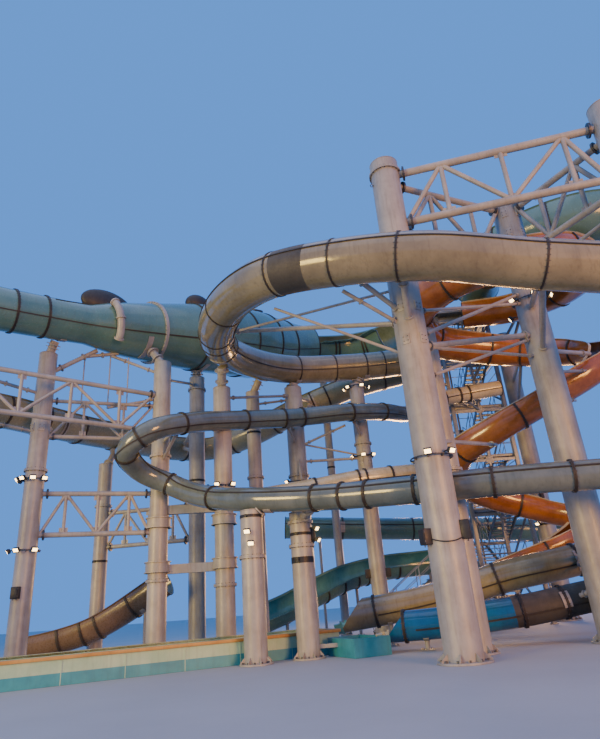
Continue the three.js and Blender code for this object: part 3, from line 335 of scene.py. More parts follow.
# paths are points on the site plan; flanges are shares of the run with a bolted ring, read off the photo
# where it shows them; seams and rolls are degrees round the section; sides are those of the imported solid
flumes = {
    # big flume: a band of the shell, shares 0.575 to 0.607, is drawn in the dark back laminate
    "big": dict(
        radius=11 * [0.75] + [0.735, 0.715, 0.715, 0.74], wall=0.05, lip=0.02, ringHalf=0.028, count=19,
        tinted=[(0.575, 0.607)], tint=rawLaminateAndShade, joints=[5, 10, 16], sides=10, material=smokeGelcoat,
        slot="olive_laminate", seams=[22, 202],
        flanges=[0.0775, 0.1525, 0.2175, 0.2812, 0.3975, 0.4838, 0.575, 0.6325, 0.7037, 0.7788, 0.86, 0.94],
        nodes=["big_flume_back", "big_flume_turn", "big_flume_front", "big_flume_end"],
        path=[(7.3, 28.4, 13.75), (4.8, 28.2, 13.4), (2.1, 27.7, 13.15), (-0.45, 26.75, 12.9),
              (-2.2, 24.9, 12.6), (-3.3, 22.4, 12.3), (-3.2, 19.9, 12.0), (-2.27, 17.44, 11.8),
              (-0.81, 15.66, 11.55), (1.23, 14.52, 11.15), (3.83, 13.67, 10.6), (6.55, 13.3, 9.85),
              (9.3, 13.0, 9.2), (11.9, 12.9, 8.6), (14.2, 13.9, 8.0)]),
    "raft": dict(
        radius=[0.9, 0.9, 0.9, 0.9, 1.22, 1.58, 1.82, 2.0, 1.8, 1.5, 1.4], wall=0.06, count=12, joints=[4, 8],
        sides=12, material=slateGelcoat, slot="teal_laminate", seams=[-24, 204],
        flanges=[0.15, 0.208, 0.333, 0.565, 0.72, 0.81, 0.9], bareAt=[3, 5, 7], paleFlange=0.452,
        nodes=["raft_tube", "raft_cone", "raft_elbow"],
        path=[(-13.6, 17.35, 13.1), (-11.45, 19.5, 13.35), (-10.33, 20.6, 13.5), (-9.25, 21.65, 13.65),
              (-8.3, 22.7, 13.9), (-6.5, 24.65, 14.4), (-5.08, 26.2, 14.85), (-2.75, 29.0, 15.6),
              (-1.5, 30.5, 16.0), (-0.2, 31.6, 16.35), (0.6, 32.1, 16.5)]),
    "raftTrough": dict(
        radius=1.4, wall=0.06, splash=(0, 0.5), count=4, opening=130, roll=-35, sides=8,
        material=slateGelcoat, inside=oliveInside, slot="teal_laminate", nodes=["raft_trough"],
        flanges=[0.3, 0.7],
        path=[(0.62, 32.112, 16.504), (1.42, 32.6, 16.65), (3.2, 33.1, 16.85), (4.7, 32.8, 16.95),
              (5.7, 32.0, 17.05)]),
    "tealTrough": dict(
        radius=1.35, wall=0.06, count=6, opening=130, sides=8, material=slateGelcoat, inside=aquaInside,
        slot="teal_laminate", nodes=["teal_trough"], flanges=[0.2, 0.42, 0.64],
        path=[(10.3, 27.85, 17.7), (10.15, 26.0, 17.68), (11.2, 23.7, 17.6), (13.4, 22.1, 17.5),
              (16.0, 21.8, 17.3)]),
    "body": dict(
        radius=0.45, wall=0.04, count=24, joints=[8, 15], sides=8, material=petrolGelcoat,
        slot="petrol_laminate", seams=[28, 208],
        flanges=[0.059, 0.1165, 0.1707, 0.2273, 0.2965, 0.3865, 0.42, 0.444, 0.5, 0.56, 0.63, 0.6915, 0.7128,
                 0.7398, 0.8043, 0.8554, 0.92],
        nodes=["body_flume_upper", "body_flume_curl", "body_flume_lower"],
        path=[(7.4, 30.4, 11.6), (5.6, 29.0, 10.75), (4.1, 27.3, 10.4), (2.2, 26.0, 10.1),
              (-0.17, 25.1, 9.75), (-2.6, 23.8, 9.4), (-4.6, 21.9, 8.85), (-5.9, 20.7, 8.25),
              (-6.9, 20.9, 7.6), (-6.7, 21.9, 7.05), (-5.6, 22.4, 6.5), (-4.2, 21.7, 5.8),
              (-2.1, 20.0, 5.2), (-0.4, 19.3, 4.98), (1.2, 18.4, 4.8), (2.7, 17.6, 4.68),
              (4.05, 17.03, 4.61), (5.5, 16.5, 4.55), (7.6, 16.0, 4.46), (10.4, 15.4, 4.32),
              (13.4, 14.9, 4.2)]),
    "middle": dict(
        radius=0.45, wall=0.04, count=6, sides=8, material=creamGelcoat, slot="petrol_laminate",
        nodes=["middle_flume"], seams=[20, 200], flanges=[0.25, 0.3862, 0.5325, 0.72],
        path=[(7.2, 28.0, 7.38), (6.0, 27.0, 7.13), (5.0, 26.3, 6.96), (3.5, 25.8, 6.82), (2.0, 25.5, 6.68),
              (0.6, 25.3, 6.47), (-1.0, 25.0, 6.25), (-2.6, 24.6, 6.0)]),
    "pale": dict(
        radius=0.42, wall=0.04, count=2, sides=8, material=creamGelcoat, slot="cream_laminate",
        nodes=["pale_flume"], seams=[15, 195], flanges=[0.3781, 0.7],
        path=[(10.4, 27.85, 11.4), (8.2, 27.8, 11.15), (6.0, 27.2, 10.7)]),
    "spiral": dict(
        radius=[0.8, 0.85] + 8 * [0.9] + [0.85, 0.8, 0.75, 0.7] + 11 * [0.66], wall=0.05, count=36,
        opening=120, joints=[9, 18, 27], sides=6, material=bronzeGelcoat, inside=bronzeInside,
        rim=creamGelcoat, slot="copper_laminate",
        flanges=[0.045, 0.09, 0.135, 0.18, 0.225, 0.27, 0.315, 0.36, 0.405, 0.45, 0.495, 0.54, 0.6094, 0.6331,
                 0.68, 0.73, 0.78, 0.83, 0.88, 0.94],
        nodes=["spiral_flume_upper", "spiral_flume_middle", "spiral_flume_low", "spiral_flume_end"],
        path=[(9.2, 27.6, 15.75), (11.6, 26.7, 15.5), (13.3, 24.6, 15.25), (13.3, 22.2, 15.0),
              (11.6, 20.5, 14.75), (9.2, 20.3, 14.5), (6.7, 21.4, 14.2), (5.6, 23.5, 13.9),
              (6.6, 25.7, 13.6), (9.4, 26.5, 13.2), (11.7, 26.0, 12.6), (13.2, 24.2, 11.7),
              (13.2, 22.2, 10.7), (11.9, 21.4, 9.7), (9.8, 21.7, 8.65), (7.9, 22.3, 7.8),
              (6.5, 23.6, 7.1), (6.6, 25.2, 6.4), (8.3, 26.4, 5.7), (10.6, 26.3, 4.9),
              (11.9, 25.3, 4.2), (10.4, 24.7, 3.3), (8.2, 24.9, 2.6), (5.6, 25.3, 1.8), (3.0, 25.6, 1.3)]),
    "leftTrough": dict(
        radius=0.8, wall=0.05, count=13, opening=120, sides=6, material=khakiGelcoat, inside=aquaInside,
        slot="teal_laminate", nodes=["left_trough"],
        flanges=[0.08, 0.2, 0.32, 0.42, 0.5, 0.6, 0.72, 0.8, 0.88, 0.95],
        path=[(6.9, 31.2, 14.2), (3.2, 31.0, 13.4), (-0.1, 31.2, 12.3), (-3.2, 32.4, 11.3),
              (-5.6, 33.0, 10.85), (-7.6, 31.6, 10.62), (-8.9, 29.6, 10.5), (-9.95, 27.6, 10.4),
              (-10.85, 25.9, 10.3), (-11.6, 24.0, 10.15), (-12.3, 22.0, 10.0), (-13.1, 20.4, 9.85)]),
    "lowBack": dict(
        radius=0.65, wall=0.05, lip=0.03, count=5, sides=8, material=slateGelcoat, slot="teal_laminate",
        nodes=["low_back_flume"], posts=[0.12, 0.5, 0.88], seams=[15, 195], flanges=[0.2025, 0.4437, 0.7],
        path=[(-1.6, 34.1, 5.9), (4.5, 34.25, 5.4), (10.6, 34.3, 4.95), (15.2, 34.1, 4.4)]),
    "lowOpen": dict(
        radius=0.7, wall=0.05, count=6, opening=130, roll=35, sides=6, material=slateGelcoat,
        inside=aquaInside, slot="teal_laminate", nodes=["low_open_flume"], posts=[0.1, 0.5, 0.9],
        flanges=[0.2706, 0.44, 0.585, 0.6869, 0.84],
        path=[(7.3, 32.7, 3.35), (5.6, 32.6, 3.3), (3.8, 32.2, 3.2), (1.6, 31.4, 2.8), (0.0, 30.5, 2.2),
              (-1.4, 29.7, 1.6), (-2.7, 29.1, 1.15)]),
    "greyRunout": dict(
        radius=0.58, wall=0.04, mouth=0.9, rim=aquaInside, inside=aquaInside, count=4, sides=8,
        material=smokeGelcoat, slot="olive_laminate", nodes=["grey_runout"], posts=[0.15, 0.85],
        seams=[15, 195], flanges=[0.24, 0.4931, 0.8888],
        path=[(12.3, 21.5, 3.1), (9.33, 21.7, 2.43), (7.07, 22.1, 2.1), (4.37, 22.9, 1.5),
              (0.9, 23.62, 1.08)]),
    # blue run-out: the upstream span, shares 0 to 0.485, is drawn in the dark back laminate as painted shade
    "blueRunout": dict(
        radius=0.5, wall=0.04, mouth=0.9, rim=creamGelcoat, tinted=[(0, 0.485)], tint=rawLaminateAndShade, count=3,
        sides=8, material=blueGelcoat, slot="blue_laminate",
        nodes=["blue_runout"], posts=[0.2, 0.85], seams=[15, 195], flanges=[0.485, 0.9244],
        path=[(10.6, 19.6, 1.5), (8.22, 19.5, 1.2), (6.57, 19.7, 0.98), (3.91, 20.3, 0.78),
              (2.2, 20.75, 0.74)]),
    "tan": dict(
        radius=0.65, wall=0.05, count=5, opening=130, sides=6, material=tanGelcoat, inside=oliveInside,
        slot="tan_laminate", nodes=["tan_flume"], posts=[0.2, 0.8], flanges=[0.25, 0.5, 0.75],
        path=[(-6.4, 25.2, 3.0), (-8.36, 25.5, 1.95), (-9.59, 25.5, 1.42), (-10.78, 25.4, 1.13),
              (-12.3, 25.1, 0.9)]),
}
flumeBuild = dict(stationGap=0.28, segments=56, flangeHalf=0.04, flangeLip=0.045, endLip=0.02, jointGap=0.001,
                  groove=0.004, grooveBed=0.01, boltGap=0.16, boltSize=0.016, boltLength=0.13,
                  endBoltLength=0.06, boltLine=0.6, fullLip=0.04, firstBolt=0.03, innerLap=0.01,
                  seamWidth=0.045, seamRise=0.03, seamSunk=0.005, mouthSeamGap=0.12, mouthDrop=0.75,
                  rimReach=0.06, rimThick=0.03, closeRing=0.02, endRing=0.004)
flumeSlots = dict(shell=0, bolts=boltSlot, steel=2, inside=3, jointAndShade=4, rim=5, tint=6)


class FlumePath:
    # smooth centripetal curve through the points, walked by its length
    def __init__(self, points, radius, trim):
        self.points = [spot(*p) for p in points]
        radii = radius if isinstance(radius, list) else [radius] * len(points)
        self.radii = [r * trim for r in radii]
        steps = 40 * (len(points) - 1)
        self.places = [self.curve(k / steps * (len(points) - 1)) for k in range(steps + 1)]
        self.run = [0.0]
        for before, after in zip(self.places, self.places[1:]):
            self.run.append(self.run[-1] + (after[0] - before[0]).length)
        self.length = self.run[-1]

    def curve(self, position):
        last = len(self.points) - 1
        k = min(floor(position), last - 1)
        w = position - k
        p1, p2 = self.points[k], self.points[k + 1]
        p0 = self.points[k - 1] if k > 0 else 2 * p1 - p2
        p3 = self.points[k + 2] if k + 2 <= last else 2 * p2 - p1
        d0, d1, d2 = (sum(c * c for c in gap) ** 0.25 for gap in (p1 - p0, p2 - p1, p3 - p2))
        t1 = ((p1 - p0) / d0 - (p2 - p0) / (d0 + d1) + (p2 - p1) / d1) * d1
        t2 = ((p2 - p1) / d1 - (p3 - p1) / (d1 + d2) + (p3 - p2) / d2) * d1
        a, b = 2 * p1 - 2 * p2 + t1 + t2, 3 * p2 - 3 * p1 - 2 * t1 - t2
        return ((a * w + b) * w + t1) * w + p1, (3 * a * w + 2 * b) * w + t1, k + w

    def at(self, share):
        goal = share * self.length
        low, high = 0, len(self.run) - 2
        while low < high:
            middle = (low + high + 1) // 2
            low, high = (middle, high) if self.run[middle] <= goal else (low, middle - 1)
        part = (goal - self.run[low]) / (self.run[low + 1] - self.run[low])
        start, end = self.places[low][2], self.places[low + 1][2]
        point, along, position = self.curve(start + (end - start) * part)
        k = min(floor(position), len(self.radii) - 2)
        radius = self.radii[k] + (self.radii[k + 1] - self.radii[k]) * (position - k)
        return point, along.normalized(), radius

    def place(self, share):
        # X across, Y up out of the bed, Z back along the run
        point, along, radius = self.at(share)
        side = along.cross(upright).normalized()
        turn = Matrix((side, side.cross(along).normalized(), -along)).transposed().to_4x4()
        return Matrix.Translation(point) @ turn, radius


for spec in flumes.values():
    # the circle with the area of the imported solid's many-sided section
    share = radians(360 - spec.get("opening", 0)) / spec["sides"]
    spec["line"] = FlumePath(spec["path"], spec["radius"], sqrt(sin(share) / share))
    spec["rings"] = set()


def nearestStation(name, x, y, z):
    spec = flumes[name]
    goal = spot(x, y, z)
    return min(range(spec["count"] + 1), key=lambda k: (spec["line"].at(k / spec["count"])[0] - goal).length)


# for each column: flume, site point of its ring, heights where the arms leave the column, arm diameter
arms = {
    "main": [("big", 3.83, 13.67, 10.6, [10.9, 9.4], 0.2), ("big", -2.27, 17.44, 11.8, [11.8], 0.17),
             ("big", 1.23, 14.52, 11.15, [9.9, 11.3], 0.17), ("big", -3.2, 19.9, 12.0, [9.7], 0.17)],
    "rightInner": [("big", 6.55, 13.3, 9.85, [11.0, 9.2], 0.2),
                   ("spiral", 9.2, 20.3, 14.5, [14.0, 12.8], 0.17),
                   ("spiral", 9.8, 21.7, 8.65, [8.0, 6.8], 0.17),
                   ("greyRunout", 9.33, 21.7, 2.43, [2.6, 1.6], 0.14),
                   ("blueRunout", 8.22, 19.5, 1.2, [1.5], 0.14)],
    "rightOuter": [("big", 9.3, 13.0, 9.2, [9.4, 8.2], 0.2), ("big", 13.0, 13.2, 8.3, [8.4, 7.2], 0.2),
                   ("body", 10.4, 15.4, 4.32, [4.3, 3.5], 0.14)],
    "mainRear": [("body", 4.05, 17.03, 4.61, [4.61], 0.14)],
    "shortLeft": [("body", -2.1, 20.0, 5.2, [4.5], 0.36)],
    "shortRight": [("body", -0.4, 19.3, 4.98, [4.4], 0.3)],
    "farRight": [("spiral", 11.7, 26.0, 12.6, [12.5, 11.0], 0.17),
                 ("spiral", 11.6, 26.7, 15.5, [15.2, 13.9], 0.17)],
    "outerRight": [("tealTrough", 15.3, 21.9, 17.3, [15.4], 0.4)],
    "rearLeft": [("raftTrough", 1.6, 32.6, 16.7, [14.9], 0.3), ("lowBack", 1.4, 34.2, 5.65, [5.7], 0.16),
                 ("lowOpen", 1.6, 31.4, 2.8, [2.9], 0.14)],
    "leftRear": [("tan", -9.59, 25.5, 1.42, [1.6], 0.14), ("leftTrough", -9.95, 27.6, 10.4, [8.5], 0.32)],
    "leftOuter": [("raft", -13.0, 17.9, 13.2, [11.8], 0.36)],
    "leftFront": [("raft", -10.33, 20.6, 13.5, [12.1], 0.36),
                  ("leftTrough", -11.6, 24.0, 10.15, [9.6, 8.3], 0.16)],
    "bayFront": [("raft", -7.0, 24.0, 14.3, [12.1], 0.36), ("body", -5.4, 21.2, 8.5, [8.4, 7.5], 0.14)],
    "bayRear": [("raft", -5.08, 26.2, 14.9, [12.6], 0.4),
                ("leftTrough", -7.6, 31.6, 10.62, [10.4, 8.8], 0.18)],
    "midLeft": [("big", -3.4, 22.4, 12.3, [10.8], 0.4), ("body", -3.5, 23.1, 9.15, [8.6], 0.16)],
    "centreLeft": [("big", -2.1, 25.1, 12.6, [11.4], 0.36), ("middle", -2.0, 24.75, 6.1, [5.9, 5.2], 0.14)],
    "centreBack": [("big", -0.45, 26.75, 12.9, [11.8], 0.45),
                   ("leftTrough", -0.1, 31.2, 12.3, [11.4, 10.0], 0.18),
                   ("body", -0.2, 25.1, 9.75, [9.6, 8.8], 0.14)],
    "back": [("big", 2.6, 27.8, 13.2, [12.1], 0.4), ("body", 2.6, 26.2, 10.15, [10.0, 9.2], 0.14),
             ("middle", 2.6, 25.6, 6.75, [6.6, 5.8], 0.14)],
}
tower = dict(x0=7.95, x1=10.75, y0=28.6, y1=32.8, floor=2.7, floors=6, leg=0.2, landing=0.95, slab=0.12,
             risers=8, treadLap=0.03, railHeight=1.0, railDia=0.042, gusset=0.34)
towerMiddle = (tower["x0"] + tower["x1"]) / 2
# arms of the stair tower, each with the site point where it leaves the frame
brackets = {
    "left": [("big", 5.4, 28.3, 13.5, (tower["x0"], tower["y0"], 12.0), 0.16),
             ("body", 6.1, 29.4, 11.0, (tower["x0"], 30.2, 10.7), 0.12),
             ("middle", 6.6, 27.5, 7.25, (tower["x0"], tower["y0"], 6.6), 0.12),
             ("leftTrough", 4.9, 31.0, 13.8, (tower["x0"], 31.5, 13.4), 0.12),
             ("raftTrough", 4.5, 32.85, 16.9, (tower["x0"], tower["y1"], 14.9), 0.2)],
    "front": [("pale", 8.2, 27.8, 11.15, (towerMiddle, tower["y0"], 10.5), 0.12),
              ("spiral", 9.4, 26.5, 13.2, (towerMiddle, tower["y0"], 12.2), 0.14),
              ("spiral", 8.3, 26.4, 5.7, (towerMiddle, tower["y0"], 5.1), 0.14)],
}
for supports in [*arms.values(), *brackets.values()]:
    for flume, x, y, z, *rest in supports:
        flumes[flume]["rings"].add(nearestStation(flume, x, y, z))


def pullAlong(bm, line, edges, shares):
    # pulls a loop of edges along the run, scaled as the run widens or narrows
    faces = []
    for before, after in zip(shares, shares[1:]):
        grown = bmesh.ops.extrude_edge_only(bm, edges=edges)["geom"]
        verts = [item for item in grown if isinstance(item, bmesh.types.BMVert)]
        edges = [item for item in grown if isinstance(item, bmesh.types.BMEdge)]
        faces += [item for item in grown if isinstance(item, bmesh.types.BMFace)]
        (placeA, radiusA), (placeB, radiusB) = line.place(before), line.place(after)
        size = Matrix.Scale(radiusB / radiusA, 4)
        bmesh.ops.transform(bm, matrix=placeB @ size @ placeA.inverted(), verts=verts)
    return faces, edges


def sharesOf(line, start, end):
    steps = max(2, round((end - start) * line.length / flumeBuild["stationGap"]))
    return [start + (end - start) * k / steps for k in range(steps + 1)]


def openFrom(spec):
    # angle of the first edge of the shell and the angle that it covers
    gap = radians(spec.get("opening", 0))
    return pi / 2 + radians(spec.get("roll", 0)) + gap / 2, 2 * pi - gap


def addSkin(bm, spec, start, end):
    # a circle, or an arc where the flume is open, is pulled along the run and given its wall
    part = bmesh.new()
    line = spec["line"]
    shares = sharesOf(line, start, end)
    first, span = openFrom(spec)
    place, radius = line.place(shares[0])
    steps = round(flumeBuild["segments"] * span / (2 * pi))
    if not spec.get("opening"):
        bmesh.ops.create_circle(part, cap_ends=False, radius=radius, segments=steps, matrix=place)
    else:
        corner = part.verts.new(place @ Matrix.Rotation(first, 4, "Z") @ Vector((radius, 0, 0)))
        bmesh.ops.spin(part, geom=[corner], cent=place.translation, axis=place.col[2].to_3d(),
                       dvec=(0, 0, 0), angle=span, steps=steps, use_merge=False)
    skin = pullAlong(part, line, list(part.edges), shares)[0]
    bmesh.ops.recalc_face_normals(part, faces=skin)
    if not spec.get("opening"):
        sample = skin[len(skin) // 2]
        outward = sample.calc_center_median() - line.at((start + end) / 2)[0]
        turnedIn = sample.normal.dot(outward) < 0
    else:
        turnedIn = min(skin, key=lambda face: face.calc_center_median().z).normal.z > 0
    if turnedIn:
        bmesh.ops.reverse_faces(part, faces=skin)
    around = len(skin) // (len(shares) - 1)
    # faces in the spec's tinted spans take the tint material; on the blue run-out that is painted shade
    tones = {}
    for k, face in enumerate(skin):
        share = shares[k // around]
        tinted = any(a <= share < b for a, b in spec.get("tinted", []))
        tones[face] = flumeSlots["tint" if tinted else "shell"]
    bmesh.ops.solidify(part, geom=skin, thickness=spec["wall"])
    for face in part.faces:
        face.material_index = tones.get(face, flumeSlots["inside"])
    if spec.get("mouth") and end == 1.0:
        point, along, radius = line.at(1.0)
        slant = (along + upright * spec["mouth"]).normalized()
        through = point - upright * radius * flumeBuild["mouthDrop"]
        cut = bmesh.ops.bisect_plane(part, geom=list(part.verts) + list(part.edges) + list(part.faces),
                                     plane_co=through, plane_no=slant, clear_outer=True)
        rim = [item for item in cut["geom_cut"] if isinstance(item, bmesh.types.BMEdge)]
        for face in bmesh.ops.edgenet_fill(part, edges=rim)["faces"]:
            face.material_index = flumeSlots["rim"]
    mergePart(bm, part)


def addRibbon(bm, spec, start, end, angle, inner, outer, width, index):
    # a flat strip along the run at one angle of the section
    part = bmesh.new()
    line = spec["line"]
    shares = sharesOf(line, start, end)
    place, radius = line.place(shares[0])
    turned = place @ Matrix.Rotation(angle, 4, "Z") @ Matrix.Translation((radius + (inner + outer) / 2, 0, 0))
    size = Matrix.Diagonal((outer - inner, width, 1, 1))
    bmesh.ops.create_circle(part, cap_ends=True, radius=sqrt(0.5), segments=4,
                            matrix=turned @ size @ Matrix.Rotation(pi / 4, 4, "Z"))
    lastEdges = pullAlong(part, line, list(part.edges), shares)[1]
    bmesh.ops.contextual_create(part, geom=lastEdges)
    paint(part.verts, index)
    mergePart(bm, part)


def addFlange(bm, spec, share, side=0, lip=None):
    # side -1 or 1 keeps the ring on one side of a joint between two lengths
    place, radius = spec["line"].place(share)
    build = flumeBuild
    half = spec.get("ringHalf", build["flangeHalf"])
    lip = spec.get("lip", build["flangeLip"]) if lip is None else lip
    gap = build["jointGap"]
    low, high = (-half, half) if side == 0 else ((-half, -gap) if side > 0 else (gap, half))
    first, span = openFrom(spec)
    inner, outer = radius - build["innerLap"], radius + lip
    if not spec.get("opening"):
        groove, bed = build["groove"], radius + build["grooveBed"]
        profile = [(inner, low), (outer, low), (outer, high), (inner, high), (inner, low)]
        if side == 0:
            profile[2:2] = [(outer, -groove), (bed, -groove), (bed, groove), (outer, groove)]
        addLathe(bm, place, profile, build["segments"], flumeSlots["jointAndShade"])
    else:
        addArc(bm, place, inner, outer, low, high, first, span, 40, flumeSlots["jointAndShade"])
    count = round(span * radius / build["boltGap"])
    turned = place @ Matrix.Rotation(first, 4, "Z")
    length = build["boltLength"] if side == 0 else build["endBoltLength"]
    middle = Matrix.Translation((0, 0, (low + high) / 2))
    addBolts(bm, turned @ middle, radius + lip * build["boltLine"], count,
             build["boltSize"] * min(1, lip / build["fullLip"]), length, start=build["firstBolt"], span=span)


postBuild = dict(dia=0.16, sunk=0.03, foot=0.2, footPlate=0.03, boltCircle=0.21, boltRise=0.045,
                 saddleGap=0.001, saddle=0.016, saddleHalf=0.09, saddleAngle=1.2)


def addPosts(bm, spec):
    # posts under the keel, each on a bolted foot plate and with a rolled saddle round the shell
    build, steel = postBuild, flumeSlots["steel"]
    for share in spec.get("posts", []):
        place, radius = spec["line"].place(share)
        keel = place @ Vector((0, -radius + build["sunk"], 0))
        foot = Vector((keel.x, keel.y, 0))
        reach = build["foot"]
        addBar(bm, foot, keel, build["dia"] / 2, 24, steel)
        addBlock(bm, foot + Vector((-reach, -reach, 0)), foot + Vector((reach, reach, build["footPlate"])),
                 steel, bevel=0.006)
        top = Matrix.Translation(foot + Vector((0, 0, build["boltRise"])))
        addBolts(bm, top @ Matrix.Rotation(pi / 4, 4, "Z"), build["boltCircle"], 4, 0.018, 0.04)
        inner = radius + build["saddleGap"]
        addArc(bm, place, inner, radius + build["saddle"], -build["saddleHalf"], build["saddleHalf"],
               1.5 * pi - build["saddleAngle"] / 2, build["saddleAngle"], 16, steel)


# radii and heights from the end of the run, angles in degrees
hoodArcs = [dict(inner=-0.06, outer=0.02, low=-0.3, high=0.02, start=200, span=140),
            dict(inner=0.02, outer=0.05, low=-0.06, high=0.02, start=190, span=160)]


def addHood(bm, spec):
    # bed and rolled lip that carry the water on below the slanted mouth
    place, radius = spec["line"].place(1.0)
    for arc in hoodArcs:
        addArc(bm, place, radius + arc["inner"], radius + arc["outer"], arc["low"], arc["high"],
               radians(arc["start"]), radians(arc["span"]), 28, flumeSlots["rim"])


# shares of the raft flume's run, degrees round its section and sizes in metres
raftFittings = dict(
    # hoods: near-black shapes on top of the tube, painted shade
    shadeHoods=[dict(share=0.352, angle=92, length=1.25, width=0.42, height=0.7),
           dict(share=0.6, angle=84, length=0.75, width=0.45, height=0.55)],
    shadeHoodLean=10, footBolts=14, footShare=0.93,
    pipe=dict(heldAt=0.33, share=0.342, stand=0.17, radius=0.165, start=-44, span=84, clips=(-44, -2, 40),
              clipRadius=0.215, clipHalf=0.035),
    cover=dict(share=0.225, step=0.006, steps=16, start=42, swing=20, rise=0.025, half=0.07, halfAngle=0.02),
    hatch=dict(share=0.79, angle=70))


def addShadeHoodFoot(bm, place, shadeHood):
    # bolts round the foot of a hood, a near-black shape of painted shade
    count, inset = raftFittings["footBolts"], raftFittings["footShare"]
    for k in range(count):
        angle = 2 * pi * k / count
        foot = place @ Vector((0.05, shadeHood["width"] * inset * sin(angle), shadeHood["length"] * inset * cos(angle)))
        rise = place @ Vector((0.16, 0, 0)) - place @ Vector((0, 0, 0))
        addBar(bm, foot, foot + rise * 0.4, 0.02, 6, boltSlot)


def addSupplyPipe(bm, line):
    # bent pipe round the near side with three clips, and the stepped cover strip beside it
    steel = flumeSlots["steel"]
    pipe, cover = raftFittings["pipe"], raftFittings["cover"]
    place, radius = line.place(pipe["share"])
    bend = radius + pipe["stand"]
    addHoop(bm, place, bend, pipe["radius"], radians(pipe["start"]), radians(pipe["span"]), 20, 28, steel)
    for angle in pipe["clips"]:
        turned = place @ Matrix.Rotation(radians(angle), 4, "Z") @ Matrix.Translation((bend, 0, 0))
        half = Vector((0, pipe["clipHalf"], 0))
        addBar(bm, turned @ -half, turned @ half, pipe["clipRadius"], 24, steel)
    for step in range(cover["steps"]):
        place, radius = line.place(cover["share"] + cover["step"] * step)
        angle = radians(cover["start"] + cover["swing"] * (1 - cos(pi * step / cover["steps"])) / 2)
        addArc(bm, place, radius, radius + cover["rise"], -cover["half"], cover["half"],
               angle - cover["halfAngle"], 2 * cover["halfAngle"], 2, flumeSlots["jointAndShade"])


def addRaftFittings(bm, line, low, high):
    # the near-black hoods, painted shade on top of the tube, the supply pipe and the hatch, where they lie
    # between these two shares of the run
    fittings = raftFittings
    for shadeHood in fittings["shadeHoods"]:
        if low <= shadeHood["share"] < high:
            place, radius = line.place(shadeHood["share"])
            turned = (place @ Matrix.Rotation(radians(shadeHood["angle"]), 4, "Z")
                      @ Matrix.Translation((radius, 0, 0)))
            size = Matrix.Diagonal((shadeHood["height"], shadeHood["width"], shadeHood["length"], 1))
            lean = Matrix.Rotation(radians(fittings["shadeHoodLean"]), 4, "Y")
            made = bmesh.ops.create_uvsphere(bm, u_segments=32, v_segments=16, radius=1,
                                             matrix=turned @ lean @ size)
            # near-black sealant on the hood: painted shade
            paint(made["verts"], flumeSlots["jointAndShade"])
            addShadeHoodFoot(bm, turned, shadeHood)
    if low <= fittings["pipe"]["heldAt"] < high:
        addSupplyPipe(bm, line)
    hatch = fittings["hatch"]
    if low <= hatch["share"] < high:
        place, radius = line.place(hatch["share"])
        turned = place @ Matrix.Rotation(radians(hatch["angle"]), 4, "Z") @ Matrix.Translation((radius, 0, 0))
        addBlock(bm, (-0.03, -0.22, -0.33), (0.1, 0.22, 0.33), flumeSlots["jointAndShade"], turned, 0.02)
        addBlock(bm, (0.1, -0.17, -0.27), (0.125, 0.17, 0.27), flumeSlots["steel"], turned, 0.008)


for name, spec in flumes.items():
    count = spec["count"]
    ends = [0, *spec.get("joints", []), count]
    held = [station / count for station in spec["rings"] if station not in spec.get("bareAt", [])]
    rings = {share for share in held if 0 < share < 1}
    rings |= {share for share in spec.get("flanges", []) if all(abs(share - one) > flumeBuild["closeRing"]
                                                                for one in held)}
    shell = [spec["material"], boltSteel, whitePaint, spec.get("inside", rawLaminateAndShade), sealantAndShade,
             spec.get("rim", spec["material"]), spec.get("tint", spec["material"])]
    for label, start, end in zip(spec["nodes"], ends, ends[1:]):
        bm = bmesh.new()
        low, high = start / count, end / count
        addSkin(bm, spec, low, high)
        for share in rings:
            if low + flumeBuild["endRing"] < share < high - flumeBuild["endRing"]:
                addFlange(bm, spec, share)
        pale = spec.get("paleFlange", -1)
        if low < pale < high:
            place, radius = spec["line"].place(pale)
            addArc(bm, place, radius - 0.01, radius + 0.09, -0.07, 0.07, 0, 2 * pi, 56, flumeSlots["steel"])
            addBolts(bm, place, radius + 0.05, 44, 0.02, 0.17)
        if start == 0:
            addFlange(bm, spec, 0.0, 1, flumeBuild["endLip"])
        if end == count and not spec.get("mouth"):
            addFlange(bm, spec, 1.0, -1, flumeBuild["endLip"])
        seamEnd = high - (flumeBuild["mouthSeamGap"] if spec.get("mouth") and end == count else 0)
        for angle in spec.get("seams", []):
            addRibbon(bm, spec, low, seamEnd, radians(angle), -flumeBuild["seamSunk"],
                      flumeBuild["seamRise"], flumeBuild["seamWidth"], flumeSlots["jointAndShade"])
        if spec.get("opening"):
            first, span = openFrom(spec)
            for angle, splash in zip((first, first + span), spec.get("splash", (0, 0))):
                addRibbon(bm, spec, low, high, angle, -spec["wall"], flumeBuild["rimReach"] + splash,
                          flumeBuild["rimThick"], flumeSlots["shell" if splash else "rim"])
        addPosts(bm, spec)
        if name == "raft":
            addRaftFittings(bm, spec["line"], low, high)
        if spec.get("mouth"):
            addHood(bm, spec)
        finishPiece("moulded_" + label, bm, shell, [label])
    print("flume", name)


